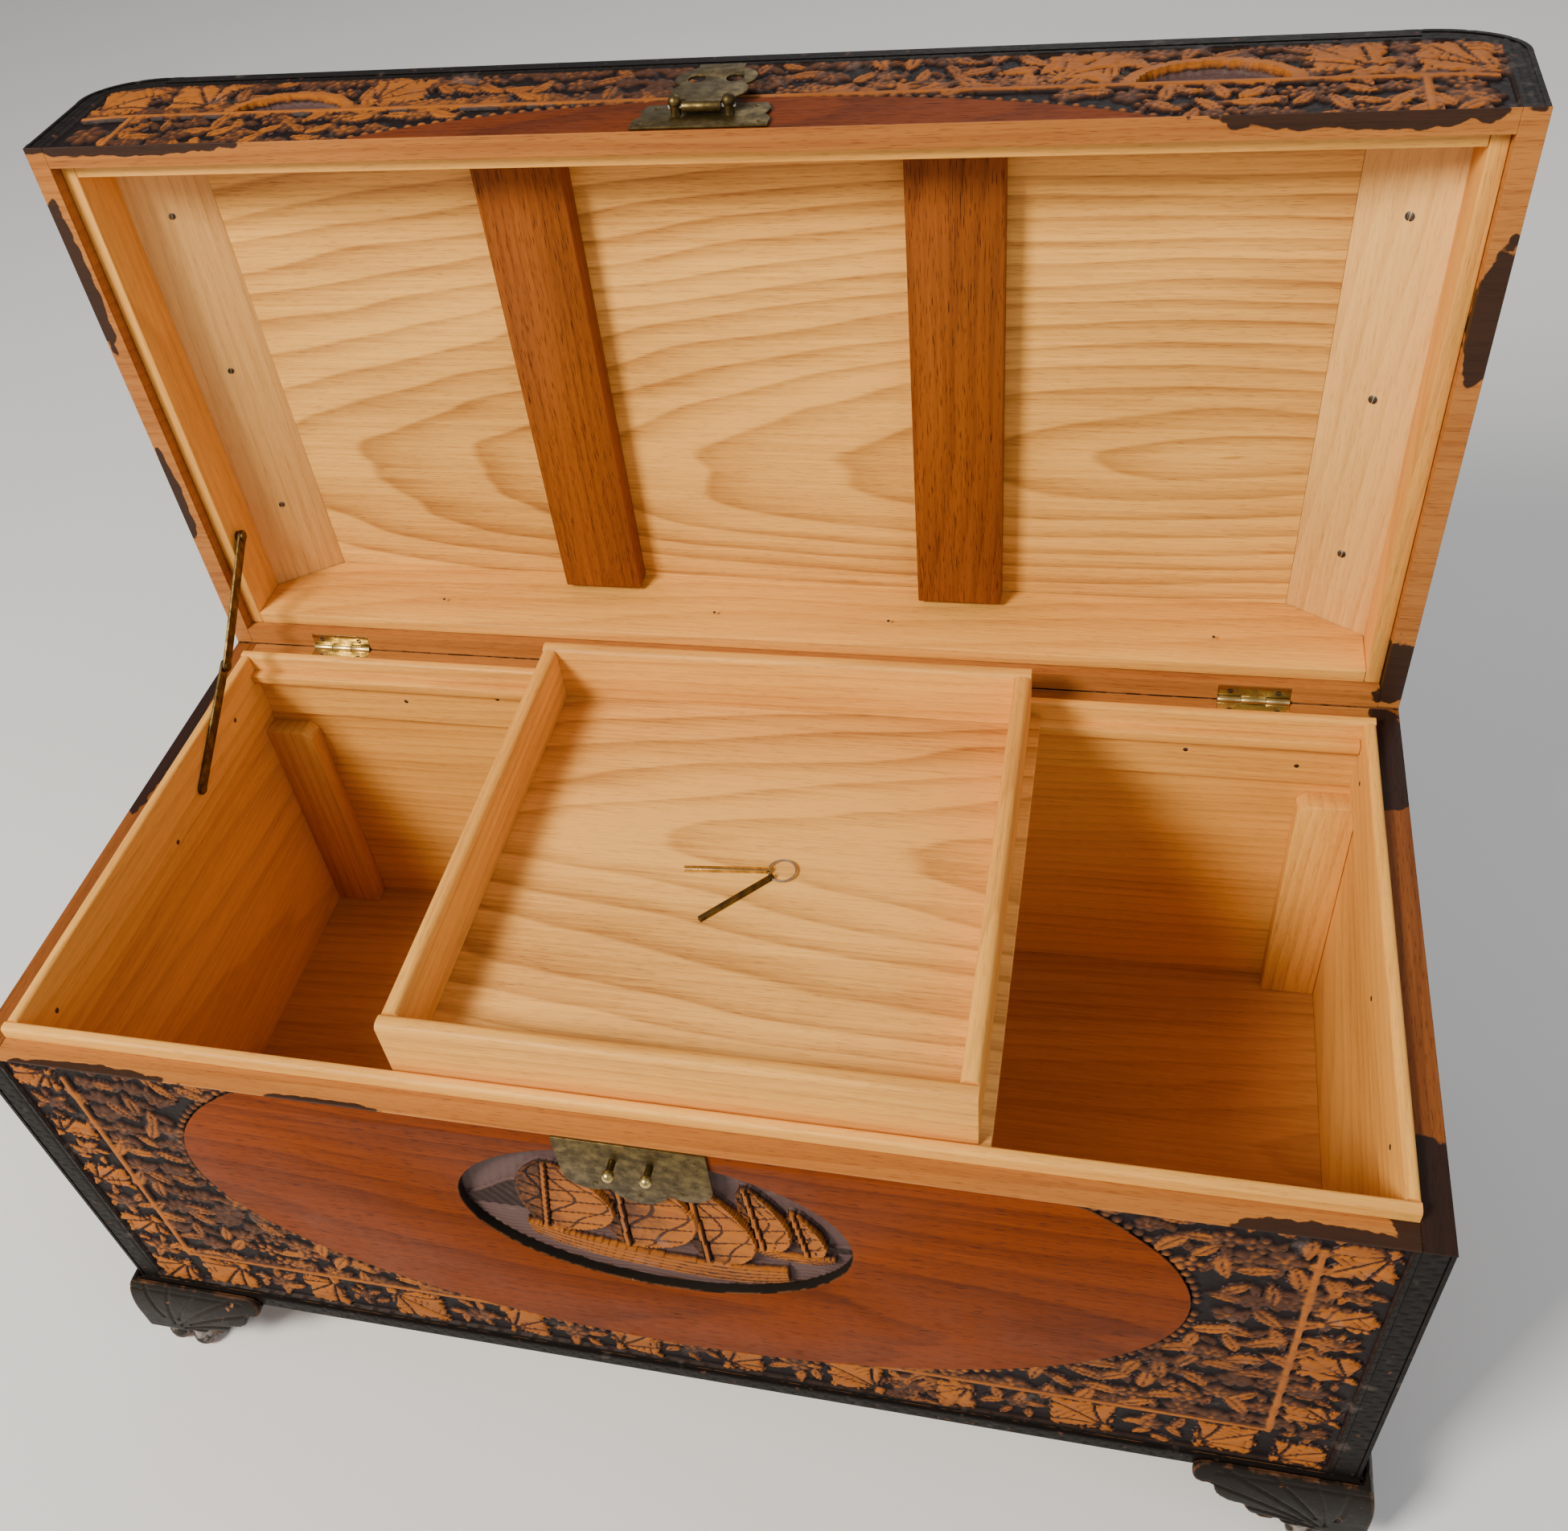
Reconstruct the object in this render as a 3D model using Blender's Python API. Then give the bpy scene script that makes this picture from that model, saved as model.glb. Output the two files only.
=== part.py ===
"""Carved camphor-wood chest with a hinged lid, a hasp, a folding stay, a sliding tray and two keys.

The chest stands on four shell feet and is modelled with its lid open at a right angle.
Metres, +Z up, front towards -Y. The origin is on the floor, in the middle of the open chest's box.
"""

import math

import bmesh
import bpy
from mathutils import Matrix

# Driving dimensions of the chest
WIDTH = 1.000
DEPTH = 0.462
BODY_HEIGHT = 0.346
FOOT_HEIGHT = 0.090
LID_HEIGHT = 0.120
LID_OPEN_ANGLE = math.radians(90)
JOINT_GAP = 0.0003

# Body
WALL = 0.019
BASE_HEIGHT = 0.015
BASE_PROUD = 0.003
BASE_DEPTH = 0.033
FLOOR_THICKNESS = 0.014
RAIL_THICKNESS = 0.0087
RAIL_DROP = 0.058
LIP_HEIGHT = 0.010
POST_WIDTH = 0.045
POST_THICKNESS = 0.018
POST_DROP = 0.076
RUNNER_HEIGHT = 0.009
RUNNER_WIDTH = 0.0087
POCKET_HEIGHT_ABOVE_BASE = 0.241
POCKET_RADII = (0.143, 0.092)
POCKET_DEPTH = 0.010

# Feet
FOOT_BULGE = 0.014
FOOT_INSIDE = 0.016
FOOT_WING_DROP = 0.062
TOE_RADIUS = 0.022
TOE_HALF_HEIGHT = 0.023
TOE_CENTRE_HEIGHT = 0.019

# Lid
LID_WALL = 0.0155
SHOULDER_HEIGHT = 0.082
SHOULDER_INSET = 0.060
LID_TOP_RABBET = 0.0255
CEILING_HEIGHT = 0.082
CEILING_TOP = 0.0942
CANT_INSET = 0.085
LINING_BOTTOM = 0.0103
LINING_TOP = 0.053
LINING_INSET = 0.027
FILLET_INSET = 0.033
BATTEN_CENTRE = 0.156
BATTEN_WIDTH = 0.068
BATTEN_BOTTOM = 0.062

# Hinges: the axis runs along X at the back faces, between the two rims, and the barrels are let in
HINGE_BACK = 0.0005
HINGE_GAP = 0.0003
HINGE_CENTRE = 0.393
HINGE_WIDTH = 0.054
KNUCKLE_HALF = 0.009
KNUCKLE_SPACE = 0.0005
BARREL_RADIUS = 0.004
BARREL_CLEARANCE = 0.0005
HINGE_BORE = 0.0021
HINGE_PIN_RADIUS = 0.0018
LEAF_THICKNESS = 0.0016
BODY_LEAF_DEPTH = 0.017
LID_LEAF_DEPTH = 0.0140

# Hasp, lock plate and staples
FITTING_THICKNESS = 0.0015
HASP_PIN_UP = 0.020
HASP_PIN_OUT = 0.007
HASP_PIN_RADIUS = 0.0015
HASP_BORE = 0.0018
HASP_SLEEVE_RADIUS = 0.0035
HASP_SLEEVE_HALF = 0.0130
HASP_POST_X = 0.018
HASP_POST_RADIUS = 0.0035
HASP_BALL_RADIUS = 0.0045
HASP_POST_REACH = 0.0105
FLAP_THICKNESS = 0.0016
FLAP_LENGTH = 0.066
FLAP_HOLE_RADIUS = 0.006
STAPLE_X = 0.013
STAPLE_RADIUS = 0.0033
STAPLE_REACH = 0.015
STAPLE_FROM_PIN = 0.042
PLATE_HALF_WIDTH = 0.053

# Folding stay at the left end. Pivots are (Y, Z) from the hinge axis, with the lid open
STAY_LID_PIVOT = (0.0235, 0.1045)
STAY_BODY_PIVOT = (-0.1585, -0.0290)
STAY_ELBOW = (-0.0660, 0.0310)
STAY_BAR_THICKNESS = 0.0020
STAY_BAR_WIDTH = 0.0110
STAY_HEAD_RADIUS = 0.0045
STAY_HEAD_HEIGHT = 0.0012
STAY_LOWER_X = -0.4715

# Tray and keys
TRAY_LEFT = -0.1770
TRAY_RIGHT = 0.2234
TRAY_HALF_DEPTH = 0.199
TRAY_ABOVE_RIM = 0.0525
TRAY_WALL = 0.0125
TRAY_BOTTOM_THICKNESS = 0.007
TRAY_FLOOR_ABOVE_RIM = 0.001
TRAY_BOTTOM_PROUD = 0.008
KEY_SIDE = 0.0036
KEY_LENGTH = 0.066
KEY_HOLE_RADIUS = 0.0013
KEY_RING_CENTRE = (0.057, 0.011)
KEY_RING_RADIUS = 0.0105
KEY_WIRE_RADIUS = 0.0008
KEY_ANGLES = {"key_one": math.radians(5), "key_two": math.radians(46)}

# Levels and places that follow from the dimensions
RIM = FOOT_HEIGHT + BODY_HEIGHT
HALF_W = WIDTH / 2
HALF_D = DEPTH / 2
HINGE_Y = HALF_D + HINGE_BACK
HINGE_Z = RIM + HINGE_GAP
FRONT_REACH = HALF_D + JOINT_GAP + FITTING_THICKNESS + STAPLE_REACH
BACK_REACH = HINGE_Y + HINGE_GAP + LID_HEIGHT
CHEST_Y = (FRONT_REACH - BACK_REACH) / 2

# Looks: colour, roughness, metallic
CAMPHOR = ((0.60, 0.34, 0.14), 0.55, 0.0)
CARVED = ((0.24, 0.09, 0.03), 0.60, 0.0)
RED_BROWN = ((0.26, 0.09, 0.035), 0.55, 0.0)
BLACK_PAINT = ((0.020, 0.017, 0.015), 0.45, 0.0)
AGED_BRASS = ((0.30, 0.22, 0.10), 0.45, 1.0)
BRASS = ((0.60, 0.42, 0.16), 0.35, 1.0)
STEEL = ((0.45, 0.44, 0.42), 0.35, 1.0)


def clear_scene():
    for item in list(bpy.data.objects):
        bpy.data.objects.remove(item, do_unlink=True)


def mesh_from(shape):
    """The finished mesh of a bmesh, with its faces pointing out."""
    bmesh.ops.recalc_face_normals(shape, faces=shape.faces)
    mesh = bpy.data.meshes.new("shape")
    shape.to_mesh(mesh)
    shape.free()
    return mesh


def box(x, y, z):
    """A block between the low and high values given for each axis."""
    shape = bmesh.new()
    size = [high - low for low, high in (x, y, z)]
    middle = [(high + low) / 2 for low, high in (x, y, z)]
    place = Matrix.Translation(middle) @ Matrix.Diagonal((*size, 1))
    bmesh.ops.create_cube(shape, size=1, matrix=place)
    return mesh_from(shape)


def prism(outline, axis, span):
    """A flat outline pushed along an axis. Outline points are the other two axes, in X, Y, Z order."""
    shape = bmesh.new()
    at = "XYZ".index(axis)
    corners = [(*point[:at], span[0], *point[at:]) for point in outline]
    face = shape.faces.new([shape.verts.new(corner) for corner in corners])
    pushed = bmesh.ops.extrude_face_region(shape, geom=[face])
    step = [0, 0, 0]
    step[at] = span[1] - span[0]
    moved = [item for item in pushed["geom"] if isinstance(item, bmesh.types.BMVert)]
    bmesh.ops.translate(shape, verts=moved, vec=step)
    return mesh_from(shape)


def arc(centre, radii, start, end, steps):
    """Points along an ellipse's arc, from one angle to another in degrees."""
    angles = [math.radians(start + (end - start) * i / steps) for i in range(steps + 1)]
    return [(centre[0] + radii[0] * math.cos(a), centre[1] + radii[1] * math.sin(a)) for a in angles]


def rod(axis, centre, radius, span, sides=16):
    """A round bar along an axis. The centre gives the other two axes, in X, Y, Z order."""
    turn = 360 / sides
    return prism(arc(centre, (radius, radius), 0, 360 - turn, sides - 1), axis, span)


def ball(centre, radii, segments=12, rings=8):
    shape = bmesh.new()
    place = Matrix.Translation(centre) @ Matrix.Diagonal((*radii, 1))
    bmesh.ops.create_uvsphere(shape, u_segments=segments, v_segments=rings, radius=1, matrix=place)
    return mesh_from(shape)


def layered_block(layers):
    """A block through rectangles given as (X low, X high, Y low, Y high, Z), lowest first."""
    shape = bmesh.new()
    rings = []
    for x0, x1, y0, y1, z in layers:
        corners = ((x0, y0, z), (x1, y0, z), (x1, y1, z), (x0, y1, z))
        rings.append([shape.verts.new(corner) for corner in corners])
    shape.faces.new(rings[0])
    shape.faces.new(rings[-1])
    for below, above in zip(rings, rings[1:]):
        for i in range(4):
            j = (i + 1) % 4
            shape.faces.new((below[i], below[j], above[j], above[i]))
    return mesh_from(shape)


def mirrored(mesh, flip_x, flip_y):
    """A copy of a mesh with X or Y or both reversed."""
    shape = bmesh.new()
    shape.from_mesh(mesh)
    bmesh.ops.scale(shape, vec=(-1 if flip_x else 1, -1 if flip_y else 1, 1), verts=shape.verts)
    return mesh_from(shape)


def carpentered(mesh, joined=(), cut=()):
    """The mesh with others joined to it, and then others cut out of it."""
    work = bpy.data.objects.new("work", mesh)
    bpy.context.collection.objects.link(work)
    helpers = []
    for operation, meshes in (("UNION", joined), ("DIFFERENCE", cut)):
        for other in meshes:
            helper = bpy.data.objects.new("helper", other)
            bpy.context.collection.objects.link(helper)
            helpers.append(helper)
            boolean = work.modifiers.new(operation, "BOOLEAN")
            boolean.operation = operation
            boolean.solver = "EXACT"
            boolean.object = helper
    bpy.context.view_layer.update()
    graph = bpy.context.evaluated_depsgraph_get()
    result = bpy.data.meshes.new_from_object(work.evaluated_get(graph))
    for item in (work, *helpers):
        bpy.data.objects.remove(item, do_unlink=True)
    return result


def new_empty(name, parent, location):
    empty = bpy.data.objects.new(name, None)
    empty.parent = parent
    empty.location = location
    bpy.context.collection.objects.link(empty)
    return empty


def add_piece(name, mesh, look, parent, round_shading=False):
    """One named piece of the chest, with its own material, under its body's empty."""
    colour, roughness, metallic = look
    material = bpy.data.materials.new(name)
    material.use_nodes = True
    shader = material.node_tree.nodes["Principled BSDF"]
    shader.inputs["Base Color"].default_value = (*colour, 1)
    shader.inputs["Roughness"].default_value = roughness
    shader.inputs["Metallic"].default_value = metallic
    mesh.name = name
    mesh.materials.clear()
    mesh.materials.append(material)
    if round_shading:
        mesh.shade_smooth()
        mesh.set_sharp_from_angle(angle=math.radians(35))
    piece = bpy.data.objects.new(name, mesh)
    piece.parent = parent
    bpy.context.collection.objects.link(piece)
    return piece


def hinge_places():
    """The X low and high of each hinge's mortise."""
    half = HINGE_WIDTH / 2 + JOINT_GAP
    return [(side * HINGE_CENTRE - half, side * HINGE_CENTRE + half) for side in (-1, 1)]


def build_walls(chest):
    """Front, back and end boards, the floor, and the strips of the base under them."""
    foot = FOOT_HEIGHT
    walls_from = foot + BASE_HEIGHT + JOINT_GAP
    inside_x = HALF_W - WALL - JOINT_GAP
    inside_y = HALF_D - WALL - JOINT_GAP
    board_x = (-inside_x, inside_x)
    pocket = prism(
        arc((0, foot + POCKET_HEIGHT_ABOVE_BASE), POCKET_RADII, 0, 350, 35),
        "Y",
        (-HALF_D - 0.01, -HALF_D + POCKET_DEPTH),
    )
    front = box(board_x, (-HALF_D, -HALF_D + WALL), (walls_from, RIM))
    add_piece("front_board", carpentered(front, cut=[pocket]), CARVED, chest)

    leaf_low = RIM - LEAF_THICKNESS - JOINT_GAP
    reach = (HALF_D - BODY_LEAF_DEPTH - JOINT_GAP, HALF_D + 0.01)
    mortises = []
    for x in hinge_places():
        mortises.append(box(x, reach, (leaf_low, RIM + 0.01)))
        mortises.append(rod("X", (HINGE_Y, HINGE_Z), BARREL_RADIUS + BARREL_CLEARANCE, x, 24))
    back = box(board_x, (HALF_D - WALL, HALF_D), (walls_from, RIM))
    add_piece("back_board", carpentered(back, cut=mortises), CARVED, chest)

    for name, x in (("left", (-HALF_W, -HALF_W + WALL)), ("right", (HALF_W - WALL, HALF_W))):
        add_piece(f"end_board_{name}", box(x, (-HALF_D, HALF_D), (walls_from, RIM)), CARVED, chest)

    floor_z = (walls_from, walls_from + FLOOR_THICKNESS)
    add_piece("bottom_board", box(board_x, (-inside_y, inside_y), floor_z), CAMPHOR, chest)

    strip_z = (foot, foot + BASE_HEIGHT)
    outer_x = HALF_W + BASE_PROUD
    outer_y = HALF_D + BASE_PROUD
    inner_y = outer_y - BASE_DEPTH
    long_x = (-outer_x, outer_x)
    short_y = (-inner_y + JOINT_GAP, inner_y - JOINT_GAP)
    add_piece("base_strip_front", box(long_x, (-outer_y, -inner_y), strip_z), BLACK_PAINT, chest)
    add_piece("base_strip_back", box(long_x, (inner_y, outer_y), strip_z), BLACK_PAINT, chest)
    left_x = (-outer_x, -outer_x + BASE_DEPTH)
    right_x = (outer_x - BASE_DEPTH, outer_x)
    add_piece("base_strip_left", box(left_x, short_y, strip_z), BLACK_PAINT, chest)
    add_piece("base_strip_right", box(right_x, short_y, strip_z), BLACK_PAINT, chest)


def build_inner_frame(chest):
    """The rails whose tops stand above the rim as a lip, the corner posts and the tray's runners."""
    outer_x = HALF_W - WALL - JOINT_GAP
    outer_y = HALF_D - WALL - JOINT_GAP
    inner_x = outer_x - RAIL_THICKNESS
    inner_y = outer_y - RAIL_THICKNESS
    rail_z = (RIM - RAIL_DROP, RIM + LIP_HEIGHT)
    long_x = (-outer_x, outer_x)
    short_y = (-inner_y + JOINT_GAP, inner_y - JOINT_GAP)
    add_piece("upper_rail_front", box(long_x, (-outer_y, -inner_y), rail_z), CAMPHOR, chest)
    add_piece("upper_rail_back", box(long_x, (inner_y, outer_y), rail_z), CAMPHOR, chest)
    add_piece("upper_rail_left", box((-outer_x, -inner_x), short_y, rail_z), CAMPHOR, chest)
    add_piece("upper_rail_right", box((inner_x, outer_x), short_y, rail_z), CAMPHOR, chest)

    bottom = FOOT_HEIGHT + BASE_HEIGHT + FLOOR_THICKNESS + 2 * JOINT_GAP
    top = RIM - POST_DROP
    bevel = POST_THICKNESS * 0.4
    outline = [
        (-outer_x, bottom),
        (-outer_x + POST_WIDTH, bottom),
        (-outer_x + POST_WIDTH, top - bevel),
        (-outer_x + POST_WIDTH - bevel, top),
        (-outer_x, top),
    ]
    post = prism(outline, "Y", (-outer_y, -outer_y + POST_THICKNESS))
    for end, flip_y in (("front", False), ("back", True)):
        for side, flip_x in (("left", False), ("right", True)):
            add_piece(f"corner_post_{end}_{side}", mirrored(post, flip_x, flip_y), CAMPHOR, chest)

    runner_top = RIM + TRAY_FLOOR_ABOVE_RIM - TRAY_BOTTOM_THICKNESS - JOINT_GAP
    runner_z = (runner_top - RUNNER_HEIGHT, runner_top)
    runner_x = (-inner_x + JOINT_GAP, inner_x - JOINT_GAP)
    edge = inner_y - JOINT_GAP
    for name, y in (("front", (-edge, -edge + RUNNER_WIDTH)), ("back", (edge - RUNNER_WIDTH, edge))):
        add_piece(f"tray_runner_{name}", box(runner_x, y, runner_z), CAMPHOR, chest)


def foot_mesh():
    """The front left foot: two lobed wings along the base, and two toes under the corner."""
    wing = [(-FOOT_BULGE, BASE_HEIGHT), (0.105, BASE_HEIGHT)]
    wing += arc((0.105, 0.004), (0.011, 0.011), 85, -90, 6)
    wing += arc((0.078, -0.010), (0.021, 0.021), 5, -72, 5)
    wing += arc((0.052, -0.028), (0.024, 0.024), -8, -75, 5)
    wing += arc((0.026, -0.036), (0.026, 0.026), -28, -90, 5)
    wing.append((-FOOT_BULGE, -FOOT_WING_DROP))
    wing = [(u, FOOT_HEIGHT + v) for u, v in wing]
    across = (-FOOT_BULGE, FOOT_INSIDE)
    front_wing = prism(wing, "Y", across)
    side_wing = prism(wing, "X", across)
    toe_radii = (TOE_RADIUS, TOE_RADIUS, TOE_HALF_HEIGHT)
    toes = [ball((x, y, TOE_CENTRE_HEIGHT), toe_radii) for x, y in ((0.0165, 0.0095), (0.0095, 0.0165))]
    base_edge = -BASE_PROUD - JOINT_GAP
    base_notch = box((base_edge, 0.2), (base_edge, 0.2), (FOOT_HEIGHT - JOINT_GAP, FOOT_HEIGHT + 0.1))
    below_floor = box((-0.1, 0.2), (-0.1, 0.2), (-0.1, 0))
    return carpentered(front_wing, joined=[side_wing, *toes], cut=[base_notch, below_floor])


def build_feet(chest):
    foot = foot_mesh()
    corners = (("front_left", -1, -1), ("front_right", 1, -1), ("back_left", -1, 1), ("back_right", 1, 1))
    for name, side_x, side_y in corners:
        mesh = mirrored(foot, side_x > 0, side_y > 0)
        piece = add_piece(f"foot_{name}", mesh, BLACK_PAINT, chest, round_shading=True)
        piece.location = (side_x * HALF_W, side_y * HALF_D, 0)


def build_lock(chest):
    """The plate on the front of the body and the two staples that the hasp drops over."""
    top = RIM - 0.0005
    lobe = arc((0.034, top - 0.042), (0.019, 0.019), 0, -118, 8)
    middle = arc((0, top - 0.0495), (0.022, 0.022), -22, -90, 6)
    right = [(PLATE_HALF_WIDTH, top), *lobe, *middle]
    outline = right + [(-x, z) for x, z in reversed(right[:-1])]
    plate_back = -HALF_D - JOINT_GAP
    plate = prism(outline, "Y", (plate_back - FITTING_THICKNESS, plate_back))
    add_piece("lock_plate", plate, AGED_BRASS, chest)

    height = HINGE_Z + HINGE_GAP + HASP_PIN_UP - STAPLE_FROM_PIN
    plate_front = plate_back - FITTING_THICKNESS
    neck = STAPLE_RADIUS * 0.8
    for name, side in (("left", -1), ("right", 1)):
        x = side * STAPLE_X
        tip = plate_front - STAPLE_REACH + STAPLE_RADIUS
        shank = rod("Y", (x, height), neck, (tip, plate_front - JOINT_GAP), 12)
        head = ball((x, tip, height), (STAPLE_RADIUS,) * 3, 12, 6)
        add_piece(f"lock_staple_{name}", carpentered(shank, joined=[head]), AGED_BRASS, chest, True)


def hinge_leaf(knuckles, depth, up):
    """A butt-hinge leaf about the hinge axis. `up` is 1 for the lid's leaf, -1 for the body's."""
    half = HINGE_WIDTH / 2
    rim = up * HINGE_GAP
    plate_z = tuple(sorted((rim, rim + up * LEAF_THICKNESS)))
    clear = BARREL_RADIUS + BARREL_CLEARANCE
    plate = box((-half, half), (-HINGE_BACK - depth, -clear), plate_z)
    joined = []
    cut = []
    for x in knuckles:
        joined.append(box(x, (-clear - 0.001, 0), plate_z))
        joined.append(rod("X", (0, 0), BARREL_RADIUS, x, 20))
        cut.append(rod("X", (0, 0), HINGE_BORE, (x[0] - 0.001, x[1] + 0.001), 16))
    return carpentered(plate, joined=joined, cut=cut)


def build_hinges(chest, lid):
    half = HINGE_WIDTH / 2
    outer_knuckle = KNUCKLE_HALF + KNUCKLE_SPACE
    for name, side in (("left", -1), ("right", 1)):
        body_leaf = hinge_leaf([(-half, -outer_knuckle), (outer_knuckle, half)], BODY_LEAF_DEPTH, -1)
        piece = add_piece(f"hinge_body_leaf_{name}", body_leaf, BRASS, chest, True)
        piece.location = (side * HINGE_CENTRE, HINGE_Y, HINGE_Z)
        pin = rod("X", (0, 0), HINGE_PIN_RADIUS, (-half, half), 12)
        piece = add_piece(f"hinge_pin_{name}", pin, STEEL, chest, True)
        piece.location = (side * HINGE_CENTRE, HINGE_Y, HINGE_Z)
        lid_leaf = hinge_leaf([(-KNUCKLE_HALF, KNUCKLE_HALF)], LID_LEAF_DEPTH, 1)
        piece = add_piece(f"hinge_lid_leaf_{name}", lid_leaf, BRASS, lid, True)
        piece.location = (side * HINGE_CENTRE, 0, 0)


def lid_y(depth):
    """Y under the lid's empty, for a depth measured from the lid's back face towards its front."""
    return -HINGE_BACK - depth


def lid_z(height):
    """Z under the lid's empty, for a height above the lid's rim."""
    return HINGE_GAP + height


def lid_box(x, depths, heights):
    y = (lid_y(depths[1]), lid_y(depths[0]))
    return box(x, y, (lid_z(heights[0]), lid_z(heights[1])))


def lid_prism(outline, depths):
    """An outline of (X, height above the lid's rim), pushed between two depths."""
    raised = [(x, lid_z(height)) for x, height in outline]
    return prism(raised, "Y", (lid_y(depths[1]), lid_y(depths[0])))


def shoulder(inset, gap, steps=8):
    """The curve of the lid's left shoulder, this far inside its outer face, from the side to the top."""
    centre = (-HALF_W + SHOULDER_INSET, SHOULDER_HEIGHT)
    across = SHOULDER_INSET - inset - gap
    rise = LID_HEIGHT - SHOULDER_HEIGHT - inset - gap
    return arc(centre, (across, rise), 180, 90, steps)


def other_side(outline):
    return [(-x, height) for x, height in outline]


def build_lid_shell(lid):
    """The bent end shells, the front and back boards between them, and the top board."""
    inner = shoulder(LID_WALL, 0)
    shell = [(-HALF_W, 0), *shoulder(0, 0), *reversed(inner), (-HALF_W + LID_WALL, 0)]
    full = (0, DEPTH)
    add_piece("lid_end_left", lid_prism(shell, full), BLACK_PAINT, lid, True)
    add_piece("lid_end_right", lid_prism(other_side(shell), full), BLACK_PAINT, lid, True)

    left = [(-HALF_W + LID_WALL + JOINT_GAP, 0), *shoulder(LID_WALL, JOINT_GAP)]
    board = left + list(reversed(other_side(left)))
    add_piece("lid_front", lid_prism(board, (DEPTH - LID_WALL, DEPTH)), CARVED, lid)
    reach = (-0.01, LID_LEAF_DEPTH + JOINT_GAP)
    mortises = []
    for x in hinge_places():
        mortises.append(lid_box(x, reach, (-0.01, LEAF_THICKNESS + JOINT_GAP)))
        mortises.append(rod("X", (0, 0), BARREL_RADIUS + BARREL_CLEARANCE, x, 24))
    back = carpentered(lid_prism(board, (0, LID_WALL)), cut=mortises)
    add_piece("lid_back", back, CARVED, lid)

    half = HALF_W - SHOULDER_INSET - JOINT_GAP
    inside = (LID_WALL + JOINT_GAP, DEPTH - LID_WALL - JOINT_GAP)
    edge = lid_box((-half, half), full, (LID_HEIGHT - LID_WALL, LID_HEIGHT))
    middle = lid_box((-half, half), inside, (LID_HEIGHT - LID_TOP_RABBET, LID_HEIGHT - 0.001))
    add_piece("lid_top", carpentered(edge, joined=[middle]), CARVED, lid)


def build_lid_lining(lid):
    """The flat ceiling, the canted blocks at its ends, the linings round the opening and the battens."""
    inside = (LID_WALL + JOINT_GAP, DEPTH - LID_WALL - JOINT_GAP)
    ceiling_x = HALF_W - CANT_INSET
    panel = lid_box((-ceiling_x, ceiling_x), inside, (CEILING_HEIGHT, CEILING_TOP))
    add_piece("lid_ceiling_panel", panel, CAMPHOR, lid)

    outer = -HALF_W + LID_WALL + JOINT_GAP
    lining_x = -HALF_W + LINING_INSET
    cant_x = -ceiling_x - JOINT_GAP
    top_edge = -HALF_W + SHOULDER_INSET
    block = [
        (outer, LINING_TOP + JOINT_GAP),
        (lining_x, LINING_TOP + JOINT_GAP),
        (cant_x, CEILING_HEIGHT),
        (cant_x, CEILING_TOP),
        (top_edge, CEILING_TOP),
        *reversed(shoulder(LID_WALL, JOINT_GAP)),
    ]
    add_piece("lid_canted_block_left", lid_prism(block, inside), CAMPHOR, lid)
    add_piece("lid_canted_block_right", lid_prism(other_side(block), inside), CAMPHOR, lid)

    for name, low in (("left", outer), ("right", -lining_x)):
        x = (low, low + lining_x - outer)
        add_piece(f"lid_lining_{name}", lid_box(x, inside, (LINING_BOTTOM, LINING_TOP)), CAMPHOR, lid)

    for name, backwards in (("back", False), ("front", True)):
        layers = []
        for height, half, inset in (
            (LINING_BOTTOM, -lining_x - JOINT_GAP, LINING_INSET),
            (LINING_TOP, -lining_x - JOINT_GAP, LINING_INSET),
            (CEILING_HEIGHT - JOINT_GAP, ceiling_x - JOINT_GAP, FILLET_INSET),
        ):
            near, far = inside[0], inset
            if backwards:
                near, far = DEPTH - inset, inside[1]
            layers.append((-half, half, lid_y(far), lid_y(near), lid_z(height)))
        add_piece(f"lid_lining_{name}", layered_block(layers), CAMPHOR, lid)

    batten_reach = (FILLET_INSET + 0.001, DEPTH - FILLET_INSET - 0.001)
    batten_z = (BATTEN_BOTTOM, CEILING_HEIGHT - JOINT_GAP)
    for name, side in (("left", -1), ("right", 1)):
        x = (side * BATTEN_CENTRE - BATTEN_WIDTH / 2, side * BATTEN_CENTRE + BATTEN_WIDTH / 2)
        add_piece(f"lid_batten_{name}", lid_box(x, batten_reach, batten_z), RED_BROWN, lid)


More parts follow.
